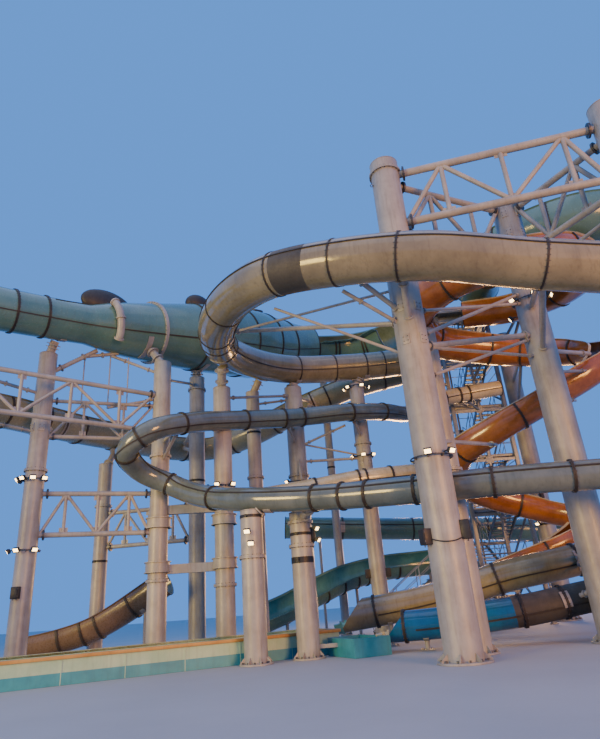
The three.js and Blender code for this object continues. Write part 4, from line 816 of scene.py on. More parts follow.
# lamps give the height and the bearings in degrees from the X axis; boxes give height, bearing, width,
# height and depth; sleeves give the middle and the length; the other fittings give their height
columns = {
    "main": dict(x=3.6, y=16.06, dia=1.0, top=16.15, collars=[15.65], node="column_main",
                 hoops=[5.28], lamps=[(5.36, [252, 306])], plates=[10.09, 8.95],
                 boxes=[(3.1, 200, 0.3, 0.42, 0.2), (3.22, 338, 0.34, 0.5, 0.22)], eye=True),
    "mainRear": dict(x=4.45, y=17.9, dia=0.8, top=10.2, collars=[5.2], node="column_main_rear"),
    "rightInner": dict(x=8.6, y=18.3, dia=1.0, top=15.5, collars=[12.4], node="column_right_inner",
                       hoops=[11.28], lamps=[(11.3, [200, 262, 320]), (10.85, [150])],
                       plates=[15.0, 14.13]),
    "rightOuter": dict(x=10.9, y=14.4, dia=1.0, top=16.4, collars=[9.0], node="column_right_outer",
                       bands=[5.3], lamps=[(5.35, [200, 300])]),
    "farRight": dict(x=12.2, y=30.5, dia=0.914, top=15.6, collars=[3.6], node="column_far_right",
                     bands=[4.6], lamps=[(4.65, [215, 320])], boxes=[(5.6, 262, 0.18, 1.1, 0.14)]),
    "leftOuter": dict(x=-13.0, y=17.6, dia=0.72, top=11.9, collars=[7.6], node="column_left_outer"),
    "leftFront": dict(x=-10.6, y=21.4, dia=0.72, top=12.2, collars=[7.15], node="column_left_front",
                      hoops=[6.83, 4.2], lamps=[(6.85, [178, 215, 252, 290, 328]), (4.22, [200, 262, 320])],
                      boxes=[(2.75, 268, 0.26, 0.4, 0.2)], plates=[8.9]),
    "leftRear": dict(x=-9.9, y=27.0, dia=0.66, top=8.7, collars=[6.6], node="column_left_rear",
                     bands=[4.14]),
    "bayFront": dict(x=-6.2, y=23.2, dia=0.762, top=12.2, node="column_bay_front",
                     sleeves=[(3.4, 0.42), (5.1, 0.42)], collars=[7.8, 2.85]),
    "bayRear": dict(x=-5.3, y=26.5, dia=0.762, top=12.7, collars=[12.0], node="column_bay_rear", bands=[7.4]),
    "midLeft": dict(x=-3.6, y=23.6, dia=0.78, top=10.9, collars=[2.53], node="column_mid_left",
                    hoops=[6.46], sleeves=[(3.4, 0.42), (5.1, 0.42)], lamps=[(6.5, [192, 255, 315])]),
    "shortLeft": dict(x=-2.09, y=19.88, dia=0.76, top=4.8, collars=[3.2], node="column_short_left",
                      bands=[4.58], lamps=[(4.06, [262]), (3.67, [272])]),
    "shortRight": dict(x=-0.42, y=20.54, dia=0.76, top=4.7, collars=[3.5, 4.3], node="column_short_right",
                       bands=[3.94, 3.12, 3.02], lamps=[(4.1, [330]), (3.72, [338])],
                       boxes=[(3.9, 355, 0.2, 0.5, 0.1)]),
    "centreLeft": dict(x=-2.45, y=26.0, dia=0.66, top=11.5, collars=[7.2], node="column_centre_left",
                       bands=[9.4]),
    "centreBack": dict(x=-0.45, y=26.9, dia=0.88, top=11.9, collars=[7.3], node="column_centre_back",
                       bands=[10.6], hoops=[7.05], lamps=[(7.08, [215, 325])]),
    "back": dict(x=2.9, y=27.9, dia=0.76, top=12.2, collars=[8.9], node="column_back",
                 hoops=[12.05, 8.3], lamps=[(12.0, [180, 222, 290, 345]), (8.32, [200, 262, 310])],
                 boxes=[(2.75, 182, 0.24, 0.4, 0.2), (2.75, 355, 0.24, 0.4, 0.2)], plates=[7.94]),
    "rearLeft": dict(x=1.4, y=32.95, dia=0.46, top=15.0, collars=[], node="column_rear_left", bands=[9.0]),
    "outerRight": dict(x=15.3, y=21.9, dia=0.76, top=15.5, collars=[8.0], node="column_outer_right",
                       spread=1.3),
}
columnBuild = dict(segments=64, spread=1.42, collarHeight=0.09, collarLip=0.07, collarBoltGap=0.14,
                   bandHeight=0.1, bandLip=0.014, hoopGap=0.1, hoopBar=0.022, brackets=8, gussetDrop=0.17,
                   sleeveLip=0.09, sleeveFlange=0.14, flangeThick=0.04, lampReach=0.2, bedded=0.01)
steelSlots = dict(paint=0, bolts=boltSlot, black=2, lens=3)
# ties to a neighbour: height, its site point, how far short of it they stop, width and depth
ties = {
    "midLeft": [(3.3, (-6.2, 23.2), 0.381, 0.25, 0.35), (5.6, (-6.2, 23.2), 0.381, 0.25, 0.35)],
    "shortLeft": [(0.45, (-2.65, 21.15), 0.06, 0.12, 0.12)],
    "shortRight": [(0.45, (-0.98, 21.81), 0.06, 0.12, 0.12), (0.35, (1.1, 20.5), 0.1, 0.12, 0.12)],
}


def addLamp(bm, place, reach):
    # floodlight on a short arm, tilted down; the place's X axis points away from the column
    black = steelSlots["black"]
    addBar(bm, place @ Vector((0, 0, 0)), place @ Vector((reach, 0, 0.02)), 0.018, 10, black)
    head = place @ Matrix.Translation((reach + 0.06, 0, -0.02)) @ Matrix.Rotation(radians(32), 4, "Y")
    addBlock(bm, (-0.05, -0.11, -0.08), (0.04, 0.11, 0.08), black, head, 0.01)
    addBlock(bm, (0.035, -0.09, -0.06), (0.05, 0.09, 0.06), steelSlots["lens"], head)
    for k in range(4):
        addBlock(bm, (-0.08, -0.085 + 0.05 * k, -0.06), (-0.045, -0.07 + 0.05 * k, 0.06), black, head)


def addBox(bm, place, width, height, depth):
    # cable box with a proud lid, hinges and two glands
    black, lidWide, lidTall = steelSlots["black"], width * 0.44, height * 0.45
    addBlock(bm, (-0.02, -width / 2, -height / 2), (depth, width / 2, height / 2), black, place, 0.012)
    addBlock(bm, (depth, -lidWide, -lidTall), (depth + 0.02, lidWide, lidTall), black, place, 0.006)
    for z in (-0.3, 0.3):
        addBar(bm, place @ Vector((depth, width / 2, z * height - 0.03)),
               place @ Vector((depth, width / 2, z * height + 0.03)), 0.012, 10, 1)
    for y in (-0.25, 0.25):
        addBar(bm, place @ Vector((depth / 2, y * width, -height / 2 - 0.05)),
               place @ Vector((depth / 2, y * width, -height / 2)), 0.018, 12, 1)


def addFoot(bm, place, r, wide):
    # round base plate with twelve anchor bolts and eight cut-down gussets
    build = columnBuild
    plate = [(0, 0), (wide, 0), (wide, 0.042), (wide - 0.008, 0.05), (0, 0.05)]
    addLathe(bm, place, plate, build["segments"])
    addBolts(bm, place @ Matrix.Translation((0, 0, 0.075)), (wide + r) / 2, 12, 0.028, 0.06)
    for k in range(build["brackets"]):
        turned = place @ Matrix.Rotation(pi / 8 + pi / 4 * k, 4, "Z")
        made = addBlock(bm, (r - 0.01, -0.008, 0.05), (wide - 0.015, 0.008, 0.26), 0, turned)
        outer = [vert for vert in made if (turned.inverted() @ vert.co).x > r + 0.03
                 and (turned.inverted() @ vert.co).z > 0.2]
        bmesh.ops.translate(bm, verts=outer, vec=(0, 0, -build["gussetDrop"]))


def addRing(bm, place, inner, outer, low, high, index=0):
    profile = [(inner, low), (outer, low), (outer, high), (inner, high), (inner, low)]
    addLathe(bm, place, profile, columnBuild["segments"], index)


def addCollar(bm, place, r, z):
    # two bolted flanges with a split between them
    build = columnBuild
    for low, high in ((z, z + 0.042), (z + 0.046, z + build["collarHeight"])):
        addRing(bm, place, r - build["bedded"], r + build["collarLip"], low, high)
    count = round(2 * pi * r / build["collarBoltGap"])
    addBolts(bm, place @ Matrix.Translation((0, 0, z + 0.045)), r + 0.04, count, 0.016, 0.15)


def addBand(bm, place, r, z):
    # black clamp band drawn up by a bolt at each side
    build = columnBuild
    low, high = z - build["bandHeight"] / 2, z + build["bandHeight"] / 2
    addRing(bm, place, r - build["bedded"], r + build["bandLip"], low, high, steelSlots["black"])
    for angle in (70, 250):
        turned = place @ Matrix.Rotation(radians(angle), 4, "Z")
        addBlock(bm, (r, -0.03, low), (r + 0.07, 0.03, high), steelSlots["black"], turned, 0.006)
        addBar(bm, turned @ Vector((r + 0.045, -0.06, z)), turned @ Vector((r + 0.045, 0.06, z)), 0.012, 8,
               boltSlot)


def addLampHoop(bm, place, r, z):
    # bent tube round the column on eight short brackets, for the lamps to hang on
    build = columnBuild
    level = place @ Matrix.Translation((0, 0, z))
    addHoop(bm, level, r + build["hoopGap"], build["hoopBar"], 0, 2 * pi, 10, 56, boltSlot)
    for k in range(build["brackets"]):
        turned = place @ Matrix.Rotation(pi / 8 + pi / 4 * k, 4, "Z")
        addBlock(bm, (r - 0.01, -0.012, z - 0.06), (r + build["hoopGap"], 0.012, z + 0.03), boltSlot, turned,
                 0.004)


def addSleeve(bm, place, r, z, tall):
    # thicker length of tube with a flange at each end
    build = columnBuild
    low, high, thick = z - tall / 2, z + tall / 2, build["flangeThick"]
    for bottom, top, reach in ((low, high, build["sleeveLip"]), (low, low + thick, build["sleeveFlange"]),
                               (high - thick, high, build["sleeveFlange"])):
        addRing(bm, place, r - build["bedded"], r + reach, bottom, top)


def addPlates(bm, place, r, z):
    # bolted cleats for struts, to the left and right of the near side
    for angle in (238, 302):
        turned = place @ Matrix.Rotation(radians(angle), 4, "Z") @ Matrix.Translation((r, 0, z))
        addBlock(bm, (-0.02, -0.12, -0.17), (0.02, 0.12, 0.17), 0, turned, 0.008)
        addBolts(bm, turned @ Matrix.Rotation(pi / 2, 4, "Y") @ Matrix.Translation((0, 0, 0.03)), 0.1, 4,
                 0.014, 0.03, start=pi / 4)


def addColumn(bm, spec):
    r, top = spec["dia"] / 2, spec["top"]
    build = columnBuild
    place = Matrix.Translation(spot(spec["x"], spec["y"]))
    tube = [(0, 0.045), (r, 0.045), (r, top - 0.04), (r - 0.012, top - 0.03), (0, top - 0.03)]
    cap = [(0, top - 0.03), (r - 0.004, top - 0.03), (r + 0.004, top - 0.026), (r + 0.004, top - 0.004),
           (r, top), (0, top)]
    addLathe(bm, place, tube, build["segments"])
    addLathe(bm, place, cap, build["segments"])
    addFoot(bm, place, r, r * spec.get("spread", build["spread"]))
    for z in spec["collars"]:
        addCollar(bm, place, r, z)
    for z in spec.get("bands", []):
        addBand(bm, place, r, z)
    for z in spec.get("hoops", []):
        addLampHoop(bm, place, r, z)
    for z, tall in spec.get("sleeves", []):
        addSleeve(bm, place, r, z, tall)
    for z in spec.get("plates", []):
        addPlates(bm, place, r, z)
    for z, angles in spec.get("lamps", []):
        for angle in angles:
            wall = place @ Matrix.Rotation(radians(angle), 4, "Z") @ Matrix.Translation((r, 0, z))
            addLamp(bm, wall, build["lampReach"])
    for z, angle, width, height, depth in spec.get("boxes", []):
        wall = place @ Matrix.Rotation(radians(angle), 4, "Z") @ Matrix.Translation((r, 0, z))
        addBox(bm, wall, width, height, depth)
    if spec.get("eye"):
        eye = place @ Matrix.Rotation(radians(190), 4, "Z") @ Matrix.Translation((r + 0.06, 0, top - 0.95))
        addHoop(bm, eye @ Matrix.Rotation(pi / 2, 4, "X"), 0.05, 0.014, 0, 2 * pi, 10, 24, boltSlot)
        addBar(bm, eye @ Vector((-0.08, 0, 0)), eye @ Vector((-0.04, 0, 0)), 0.03, 16, boltSlot)


armBuild = dict(saddleGap=0.045, steepest=0.3, collar=0.05, plateBack=0.16, plateThick=0.02, plateSplit=0.002)


def addArm(bm, start, flume, x, y, z, dia, hostRadius):
    # tube from its host to the ring of a flume, with a foot collar, an end plate and a rolled saddle
    build = armBuild
    spec = flumes[flume]
    share = nearestStation(flume, x, y, z) / spec["count"]
    goal, along, radius = spec["line"].at(share)
    run = (goal - start).normalized()
    across = (run - along * run.dot(along)).length
    end = goal - run * (radius + build["saddleGap"]) / max(across, build["steepest"])
    addBar(bm, start, end, dia / 2, 28)
    foot = start + run * (hostRadius + build["collar"])
    addBar(bm, foot - run * 0.02, foot + run * 0.02, dia * 0.75, 28)
    plate = end - run * build["plateBack"]
    split, thick = build["plateSplit"], build["plateThick"]
    addBar(bm, plate - run * (split + thick), plate - run * split, dia * 0.8, 28)
    addBar(bm, plate + run * split, plate + run * (split + thick), dia * 0.8, 28)
    place = spec["line"].place(share)[0]
    local = place.inverted() @ start
    bearing = atan2(local.y, local.x)
    addArc(bm, place, radius + 0.004, radius + 0.03, -0.13, 0.13, bearing - 0.5, 1.0, 18)


for key, spec in columns.items():
    bm = bmesh.new()
    addColumn(bm, spec)
    for flume, x, y, z, heights, dia in arms.get(key, []):
        for height in heights:
            addArm(bm, spot(spec["x"], spec["y"], height), flume, x, y, z, dia, spec["dia"] / 2)
    for z, goal, short, wide, deep in ties.get(key, []):
        start, end = spot(spec["x"], spec["y"], z), spot(*goal, z)
        addBeam(bm, start, end - (end - start).normalized() * short, wide, deep)
    finishPiece("painted_" + spec["node"], bm, [whitePaint, boltSteel, blackCoat, lampLens], [spec["node"]])
print("columns")

# splits are the shares of the span where two panels meet
trusses = {
    "truss_top_front": dict(ends=("main", "rightOuter"), low=13.5, high=15.6, splits=[0.26, 0.53, 0.8]),
    "truss_top_left": dict(ends=("main", "rightInner"), low=13.2, high=15.3, splits=[1 / 3, 2 / 3],
                           chord=0.24),
    "truss_top_right": dict(ends=("rightInner", "rightOuter"), low=13.2, high=15.2, splits=[1 / 3, 2 / 3],
                            chord=0.24, fallsFirst=True),
    "truss_left_front": dict(ends=("leftOuter", "bayFront"), low=8.95, high=10.6,
                             splits=[0.135, 0.35, 0.56, 0.785], chord=0.2, web=0.13),
    "truss_left_back": dict(ends=("leftFront", "bayFront"), low=8.6, high=10.12, splits=[1 / 3, 2 / 3],
                            chord=0.16, web=0.11),
    "truss_low_front": dict(ends=("leftFront", "bayFront"), low=4.75, high=6.3, splits=[0.25, 0.5, 0.75],
                            chord=0.2, web=0.13),
    "truss_low_rear": dict(ends=("leftRear", "bayRear"), low=4.75, high=6.3, splits=[0.25, 0.5, 0.75],
                           chord=0.2, web=0.13),
}
trussBuild = dict(chord=0.27, web=0.17, bedded=0.01, flanges=(0.14, 0.175), flangeHalf=0.015, boltsAt=0.157,
                  plateDrop=0.16, plateThick=0.014, plateTall=0.2)


def addTruss(bm, spec):
    # two chords with bolted end flanges, a zigzag web, uprights and gusset plates
    build = trussBuild
    a, b = (columns[key] for key in spec["ends"])
    ends = [spot(one["x"], one["y"]) for one in (a, b)]
    run = (ends[1] - ends[0]).normalized()
    faceA = ends[0] + run * (a["dia"] / 2 - build["bedded"])
    faceB = ends[1] - run * (b["dia"] / 2 - build["bedded"])
    low, high = spec["low"], spec["high"]
    chord, web = spec.get("chord", build["chord"]), spec.get("web", build["web"])
    for z in (low, high):
        addBar(bm, faceA + upright * z, faceB + upright * z, chord / 2, 32)
        for end, way in ((faceA, run), (faceB, -run)):
            for offset in build["flanges"]:
                disc = end + upright * z + way * offset
                half = way * build["flangeHalf"]
                addBar(bm, disc - half, disc + half, chord * 0.95, 32, boltSlot)
            axis = aimed(end, end + way) @ Matrix.Rotation(pi / 2, 4, "Y")
            axis.translation = end + upright * z + way * build["boltsAt"]
            addBolts(bm, axis, chord * 0.68, 8, 0.014, 0.09)
    stops = [0.0, *spec["splits"], 1.0]
    for k, (left, right) in enumerate(zip(stops, stops[1:])):
        rising = (k % 2 == 0) != spec.get("fallsFirst", False)
        za, zb = (low, high) if rising else (high, low)
        first = faceA if k == 0 else ends[0].lerp(ends[1], left)
        second = faceB if right == 1.0 else ends[0].lerp(ends[1], right)
        addBar(bm, first + upright * za, second + upright * zb, web / 2, 20)
        if k > 0:
            addBar(bm, first + upright * low, first + upright * high, web / 2, 20)
            for z, drop in ((low, build["plateDrop"]), (high, -build["plateDrop"])):
                centre, reach = first + upright * (z + drop), run * chord * 0.8
                addBeam(bm, centre - reach, centre + reach, build["plateThick"], build["plateTall"])


for label, spec in trusses.items():
    bm = bmesh.new()
    addTruss(bm, spec)
    finishPiece("painted_" + label, bm, [whitePaint, boltSteel], [label])
print("trusses")

# slender bracing: the site points of both ends and the diameter; some ends stop short of a flume or truss
bracing = {
    "right_bay_struts": [
        ((3.6, 16.06, 9.1), (8.6, 18.3, 11.76), 0.13), ((3.6, 16.06, 10.1), (8.6, 18.3, 11.26), 0.11),
        ((3.6, 16.06, 8.82), (8.6, 18.3, 9.98), 0.2), ((3.6, 16.06, 8.88), (8.6, 18.3, 9.08), 0.11),
        ((3.6, 16.06, 7.7), (8.6, 18.3, 9.9), 0.11), ((3.6, 16.06, 5.82), (7.6, 22.1, 7.0), 0.14),
        ((8.6, 18.3, 9.34), (11.5, 20.6, 10.0), 0.16), ((8.6, 18.3, 8.5), (11.4, 20.9, 9.4), 0.11),
        ((8.6, 18.3, 7.54), (10.6, 20.9, 8.2), 0.11), ((8.6, 18.3, 12.1), (10.9, 14.4, 12.6), 0.13),
        ((8.6, 18.3, 11.38), (10.4, 19.7, 13.4), 0.13)],
    "left_bay_struts": [
        ((-10.6, 21.4, 11.26), (-8.99, 22.5, 12.74), 0.2), ((-9.35, 22.3, 12.4), (-8.2, 23.0, 12.75), 0.16),
        ((-8.46, 22.9, 12.62), (-6.2, 23.2, 11.62), 0.14), ((-9.5, 22.5, 12.5), (-9.5, 22.5, 10.1), 0.06),
        ((-8.5, 22.9, 12.6), (-8.5, 22.9, 10.1), 0.06), ((-7.7, 23.0, 12.5), (-7.7, 23.0, 10.1), 0.06),
        ((-8.3, 22.4, 9.96), (-6.2, 23.2, 10.5), 0.12), ((-6.2, 23.2, 11.42), (-5.3, 26.5, 12.34), 0.13),
        ((-12.1, 19.8, 10.6), (-10.6, 21.4, 10.36), 0.14), ((-12.2, 20.2, 9.0), (-10.6, 21.4, 8.74), 0.12)],
    "centre_struts": [
        ((-3.6, 23.6, 10.44), (-0.45, 26.9, 11.5), 0.13), ((-2.45, 26.0, 10.86), (-0.45, 26.9, 11.3), 0.12),
        ((-0.45, 26.9, 8.06), (2.9, 27.9, 8.24), 0.14), ((-0.45, 26.9, 8.76), (2.0, 26.3, 9.55), 0.12),
        ((-0.45, 26.9, 8.92), (-0.32, 26.0, 7.0), 0.1), ((-0.45, 26.9, 9.0), (2.9, 27.9, 8.34), 0.1)],
    "front_loop_struts": [
        ((-2.1, 18.4, 11.1), (3.6, 16.06, 11.0), 0.1), ((-0.7, 16.6, 10.9), (3.6, 16.06, 8.46), 0.1),
        ((1.5, 15.1, 10.5), (3.6, 16.06, 9.44), 0.13)],
}
strutBuild = dict(flangesFrom=0.1, flangeAt=0.66)


def addStrut(bm, start, end, dia):
    # tube with a pair of bolted discs near each end where it is thick enough to carry them
    build = strutBuild
    run = (end - start).normalized()
    addBar(bm, start, end, dia / 2, 20)
    if dia > build["flangesFrom"]:
        for tip, way in ((start, run), (end, -run)):
            disc = tip + way * build["flangeAt"]
            addBar(bm, disc, disc + way * 0.016, dia * 0.85, 20)
            addBar(bm, disc + way * 0.02, disc + way * 0.036, dia * 0.85, 20)
            axis = aimed(tip, tip + way) @ Matrix.Rotation(pi / 2, 4, "Y")
            axis.translation = disc + way * 0.018
            addBolts(bm, axis, dia * 0.68, 6, 0.01, 0.07)


for label, bars in bracing.items():
    bm = bmesh.new()
    for start, end, dia in bars:
        addStrut(bm, spot(*start), spot(*end), dia)
    finishPiece("painted_" + label, bm, [whitePaint, boltSteel])

# cable led round the main column between its two boxes, sagging a little in the middle
boxCable = dict(reach=0.53, start=212, span=114, height=3.04, sag=0.12, radius=0.016, steps=24)
bm = bmesh.new()
before = None
for k in range(boxCable["steps"] + 1):
    share = k / boxCable["steps"]
    angle = radians(boxCable["start"] + boxCable["span"] * share)
    after = spot(columns["main"]["x"] + boxCable["reach"] * cos(angle),
                 columns["main"]["y"] + boxCable["reach"] * sin(angle),
                 boxCable["height"] - boxCable["sag"] * sin(pi * share))
    if before:
        addBar(bm, before, after, boxCable["radius"], 8)
    before = after
finishPiece("box_cable", bm, [blackCoat])
print("bracing")


def addRail(bm, start, end, posts=2, drop=0.0, index=0):
    # two rails between two floor points with upright posts; both ends stand on the floor
    rise = upright * tower["railHeight"]
    dia = tower["railDia"] / 2
    addBar(bm, start + rise, end + rise, dia, 12, index)
    addBar(bm, start + rise * 0.52, end + rise * 0.52, dia * 0.75, 12, index)
    for k in range(posts):
        foot = start.lerp(end, k / (posts - 1))
        addBar(bm, foot - upright * drop, foot + rise, dia, 12, index)
    for end in (start, end):
        made = bmesh.ops.create_uvsphere(bm, u_segments=12, v_segments=6, radius=dia,
                                         matrix=Matrix.Translation(end + rise))
        paint(made["verts"], index)


def addFlight(bm, low, high, width, risers, railIndex=0):
    # flat treads between two channel stringers, with a rail on each side
    run = high - low
    level = Vector((run.x, run.y, 0))
    side = upright.cross(level.normalized())
    going = level.length / risers
    for k in range(risers):
        centre = low + level * (k + 0.5) / risers + upright * (run.z * (k + 1) / risers - 0.02)
        addBeam(bm, centre - side * width * 0.48, centre + side * width * 0.48, going + tower["treadLap"],
                0.034)
        nose = centre - level.normalized() * going / 2
        addBeam(bm, nose - side * width * 0.48, nose + side * width * 0.48, 0.02, 0.06)
    for way in (-1, 1):
        edge = side * way * width * 0.5
        addBeam(bm, low + edge + upright * 0.06, high + edge - upright * 0.06, 0.012, 0.2)
        for lift in (-0.04, 0.15):
            foot, head = low + edge * 0.97, high + edge * 0.97
            addBeam(bm, foot + upright * lift, head + upright * (lift - 0.12), 0.05, 0.012)
        addRail(bm, low + edge + upright * 0.1, high + edge + upright * 0.1, 4, 0.1, railIndex)


def addLanding(bm, low, high, railSides=()):
    # plate on a frame; low and high are corners at floor height
    x0, y0, z = low
    x1, y1, z = high
    addBlock(bm, (x0, y0, z - 0.03), (x1, y1, z), 0, bevel=0.004)
    for y in (y0 + 0.04, y1 - 0.04):
        addBeam(bm, Vector((x0, y, z - 0.08)), Vector((x1, y, z - 0.08)), 0.06, 0.08)
    for x in (x0 + 0.04, (x0 + x1) / 2, x1 - 0.04):
        addBeam(bm, Vector((x, y0, z - 0.08)), Vector((x, y1, z - 0.08)), 0.06, 0.07)
    corners = {"front": ((x0, y0), (x1, y0)), "rear": ((x0, y1), (x1, y1)), "left": ((x0, y0), (x0, y1)),
               "right": ((x1, y0), (x1, y1))}
    for side in railSides:
        (xa, ya), (xb, yb) = corners[side]
        addRail(bm, Vector((xa, ya, z)), Vector((xb, yb, z)), 3)


def addGusset(bm, point, normal):
    # plate with four bolts over a joint of the frame
    size = tower["gusset"] / 2
    across = normal.cross(upright)
    addBeam(bm, point - across * size, point + across * size, 0.014, 2 * size)
    axis = aimed(point, point + normal) @ Matrix.Rotation(pi / 2, 4, "Y")
    axis.translation = point + normal * 0.012
    addBolts(bm, axis, size * 0.8, 4, 0.016, 0.02, start=pi / 4)


def addTowerSide(bm, x, outward):
    # two legs on bolted feet, floor beams, one diagonal to a floor and two guard rails
    t = tower
    top, half = t["floor"] * t["floors"], t["leg"] / 2
    normal = Vector((outward, 0, 0))
    for y in (t["y0"], t["y1"]):
        foot = spot(x, y)
        addBlock(bm, foot + Vector((-half, -half, 0)), foot + Vector((half, half, top)), bevel=0.012)
        addBlock(bm, foot + Vector((-0.16, -0.16, 0)), foot + Vector((0.16, 0.16, 0.025)), bevel=0.005)
        addBolts(bm, Matrix.Translation(foot + upright * 0.04), 0.18, 4, 0.018, 0.04, start=pi / 4)
    for k in range(1, t["floors"] + 1):
        z = k * t["floor"]
        addBeam(bm, spot(x, t["y0"], z - 0.1), spot(x, t["y1"], z - 0.1), 0.1, 0.16)
        ya, yb = (t["y0"], t["y1"]) if k % 2 else (t["y1"], t["y0"])
        addBeam(bm, spot(x, ya, z - t["floor"] + 0.1), spot(x, yb, z - 0.15), 0.08, 0.1)
        for y in (t["y0"] + 0.1, t["y1"] - 0.1):
            addGusset(bm, spot(x, y, z - 0.12) + normal * (half + 0.008), normal)
        for lift in (0.5, 1.0):
            railZ = z - t["floor"] / 2 + lift
            addBar(bm, spot(x, t["y0"], railZ), spot(x, t["y1"], railZ), 0.02, 12)


def addTowerEnd(bm, y, outward):
    # middle post, cross beams and guard rails between the legs of the two sides
    t = tower
    inset = t["leg"] / 2 + hairline
    xa, xb = t["x0"] + inset, t["x1"] - inset
    top = t["floor"] * t["floors"]
    post = spot(towerMiddle, y, t["floor"] - 0.4)
    addBlock(bm, post + Vector((-0.05, -0.05, 0)), spot(towerMiddle, y, top) + Vector((0.05, 0.05, 0)),
             bevel=0.006)
    for k in range(1, t["floors"] + 1):
        z = k * t["floor"] - 0.3
        addBeam(bm, spot(xa, y, z), spot(xb, y, z), 0.1, 0.14)
        addGusset(bm, spot(towerMiddle, y, z) + Vector((0, outward * 0.06, 0)), Vector((0, outward, 0)))
        for lift in (0.85, 1.35):
            addBar(bm, spot(xa, y, z + lift), spot(xb, y, z + lift), 0.02, 12)


def finishTower(label, bm):
    finishPiece("galvanised_" + label, bm, [galvanised, boltSteel, whitePaint], [label])


frames = [("tower_left_frame", addTowerSide, tower["x0"], -1, "left"),
          ("tower_right_frame", addTowerSide, tower["x1"], 1, None),
          ("tower_front_frame", addTowerEnd, tower["y0"], -1, "front"),
          ("tower_rear_frame", addTowerEnd, tower["y1"], 1, None)]
for label, addFrame, offset, outward, group in frames:
    bm = bmesh.new()
    addFrame(bm, offset, outward)
    for flume, x, y, z, start, dia in brackets.get(group, []):
        addArm(bm, spot(*start), flume, x, y, z, dia, 0.1)
    finishTower(label, bm)
inner = tower["leg"] / 2 + hairline
stairX = (tower["x0"] + inner, towerMiddle - 0.05, towerMiddle + 0.05, tower["x1"] - inner)
stairFront, stairRear = tower["y0"] + tower["landing"], tower["y1"] - tower["landing"]
for label, fromFloor, toFloor in (("staircase_lower", 0, 3), ("staircase_upper", 3, 6)):
    bm = bmesh.new()
    for k in range(fromFloor, toFloor):
        z, step = k * tower["floor"], tower["floor"] / 2
        xa, xb, xc, xd = stairX
        width = xb - xa - 0.12
        addFlight(bm, spot((xa + xb) / 2, stairFront, z + (0.09 if k == 0 else 0)),
                  spot((xa + xb) / 2, stairRear, z + step), width, tower["risers"])
        addFlight(bm, spot((xc + xd) / 2, stairRear, z + step),
                  spot((xc + xd) / 2, stairFront, z + 2 * step), width, tower["risers"])
        addLanding(bm, spot(xa, stairRear, z + step), spot(xd, tower["y1"] - inner, z + step), ["rear"])
        lift = 0 if k < 5 else -0.02     # the top landing lies just under the deck
        frontZ = z + 2 * step + lift
        addLanding(bm, spot(xa, tower["y0"] + inner, frontZ), spot(xd, stairFront, frontZ),
                   ["front"] if k < 5 else [])
    finishTower(label, bm)

deck = dict(x0=6.65, x1=11.5, y0=28.1, y1=33.3, board=0.21, gap=0.01, wellX=(8.2, 10.5), wellY=(29.55, 32.5),
            armX=10.3, armReach=0.9)
deckTop = tower["floor"] * tower["floors"] + tower["slab"] + hairline
bm = bmesh.new()
boards = round((deck["x1"] - deck["x0"]) / deck["board"])
for k in range(boards):
    left = deck["x0"] + (deck["x1"] - deck["x0"]) * k / boards
    right = deck["x0"] + (deck["x1"] - deck["x0"]) * (k + 1) / boards - deck["gap"]
    inWell = right > deck["wellX"][0] and left < deck["wellX"][1]
    spans = [(deck["y0"], deck["y1"])]
    if inWell:
        spans = [(deck["y0"], deck["wellY"][0]), (deck["wellY"][1], deck["y1"])]
    for ya, yb in spans:
        addBlock(bm, spot(left, ya, deckTop - 0.04), spot(right, yb, deckTop), bevel=0.005)
for x in (deck["x0"] + 0.05, deck["wellX"][0] - 0.05, deck["wellX"][1] + 0.05, deck["x1"] - 0.05):
    addBeam(bm, spot(x, deck["y0"], deckTop - 0.08), spot(x, deck["y1"], deckTop - 0.08), 0.08, 0.08)
for y in (deck["y0"] + 0.05, deck["wellY"][0] - 0.05, deck["wellY"][1] + 0.05, deck["y1"] - 0.05):
    addBeam(bm, spot(deck["x0"], y, deckTop - 0.08), spot(deck["x1"], y, deckTop - 0.08), 0.08, 0.07)
xb, ya, yb = deck["x1"] - 0.05, deck["y0"] + 0.05, deck["y1"] - 0.05
addRail(bm, spot(xb, ya, deckTop), spot(xb, yb, deckTop), 5)
addRail(bm, spot((deck["x0"] + deck["x1"]) / 2, yb, deckTop), spot(xb, yb, deckTop), 3)
wellRear = spot(deck["wellX"][0], deck["wellY"][1], deckTop)
addRail(bm, spot(deck["wellX"][0], deck["wellY"][0], deckTop), wellRear, 4)
addRail(bm, wellRear, spot(deck["wellX"][1], deck["wellY"][1], deckTop), 3)
addBar(bm, spot(deck["armX"], deck["y0"] + 0.1, deckTop - 0.06),
       spot(deck["armX"], deck["y0"] - deck["armReach"], deckTop - 0.03), 0.06, 24)
finishTower("start_deck", bm)

access = dict(x0=2.55, x1=6.1, y0=28.5, y1=29.5, risers=15, post=0.1)
bm = bmesh.new()
middleY = (access["y0"] + access["y1"]) / 2
addFlight(bm, spot(access["x0"], middleY, 0.09), spot(access["x1"], middleY, tower["floor"]), 0.94,
          access["risers"], 2)
addLanding(bm, spot(access["x1"], access["y0"], tower["floor"]),
           spot(tower["x0"] - inner, access["y1"], tower["floor"]), ["front", "rear"])
for x in (access["x1"] + 0.1, tower["x0"] - 0.3):
    for y in (access["y0"] + 0.1, access["y1"] - 0.1):
        addBar(bm, spot(x, y), spot(x, y, tower["floor"] - 0.06), access["post"] / 2, 20)
        addBlock(bm, spot(x - 0.15, y - 0.15), spot(x + 0.15, y + 0.15, 0.03), bevel=0.006)
finishTower("access_stair", bm)
print("stair tower")

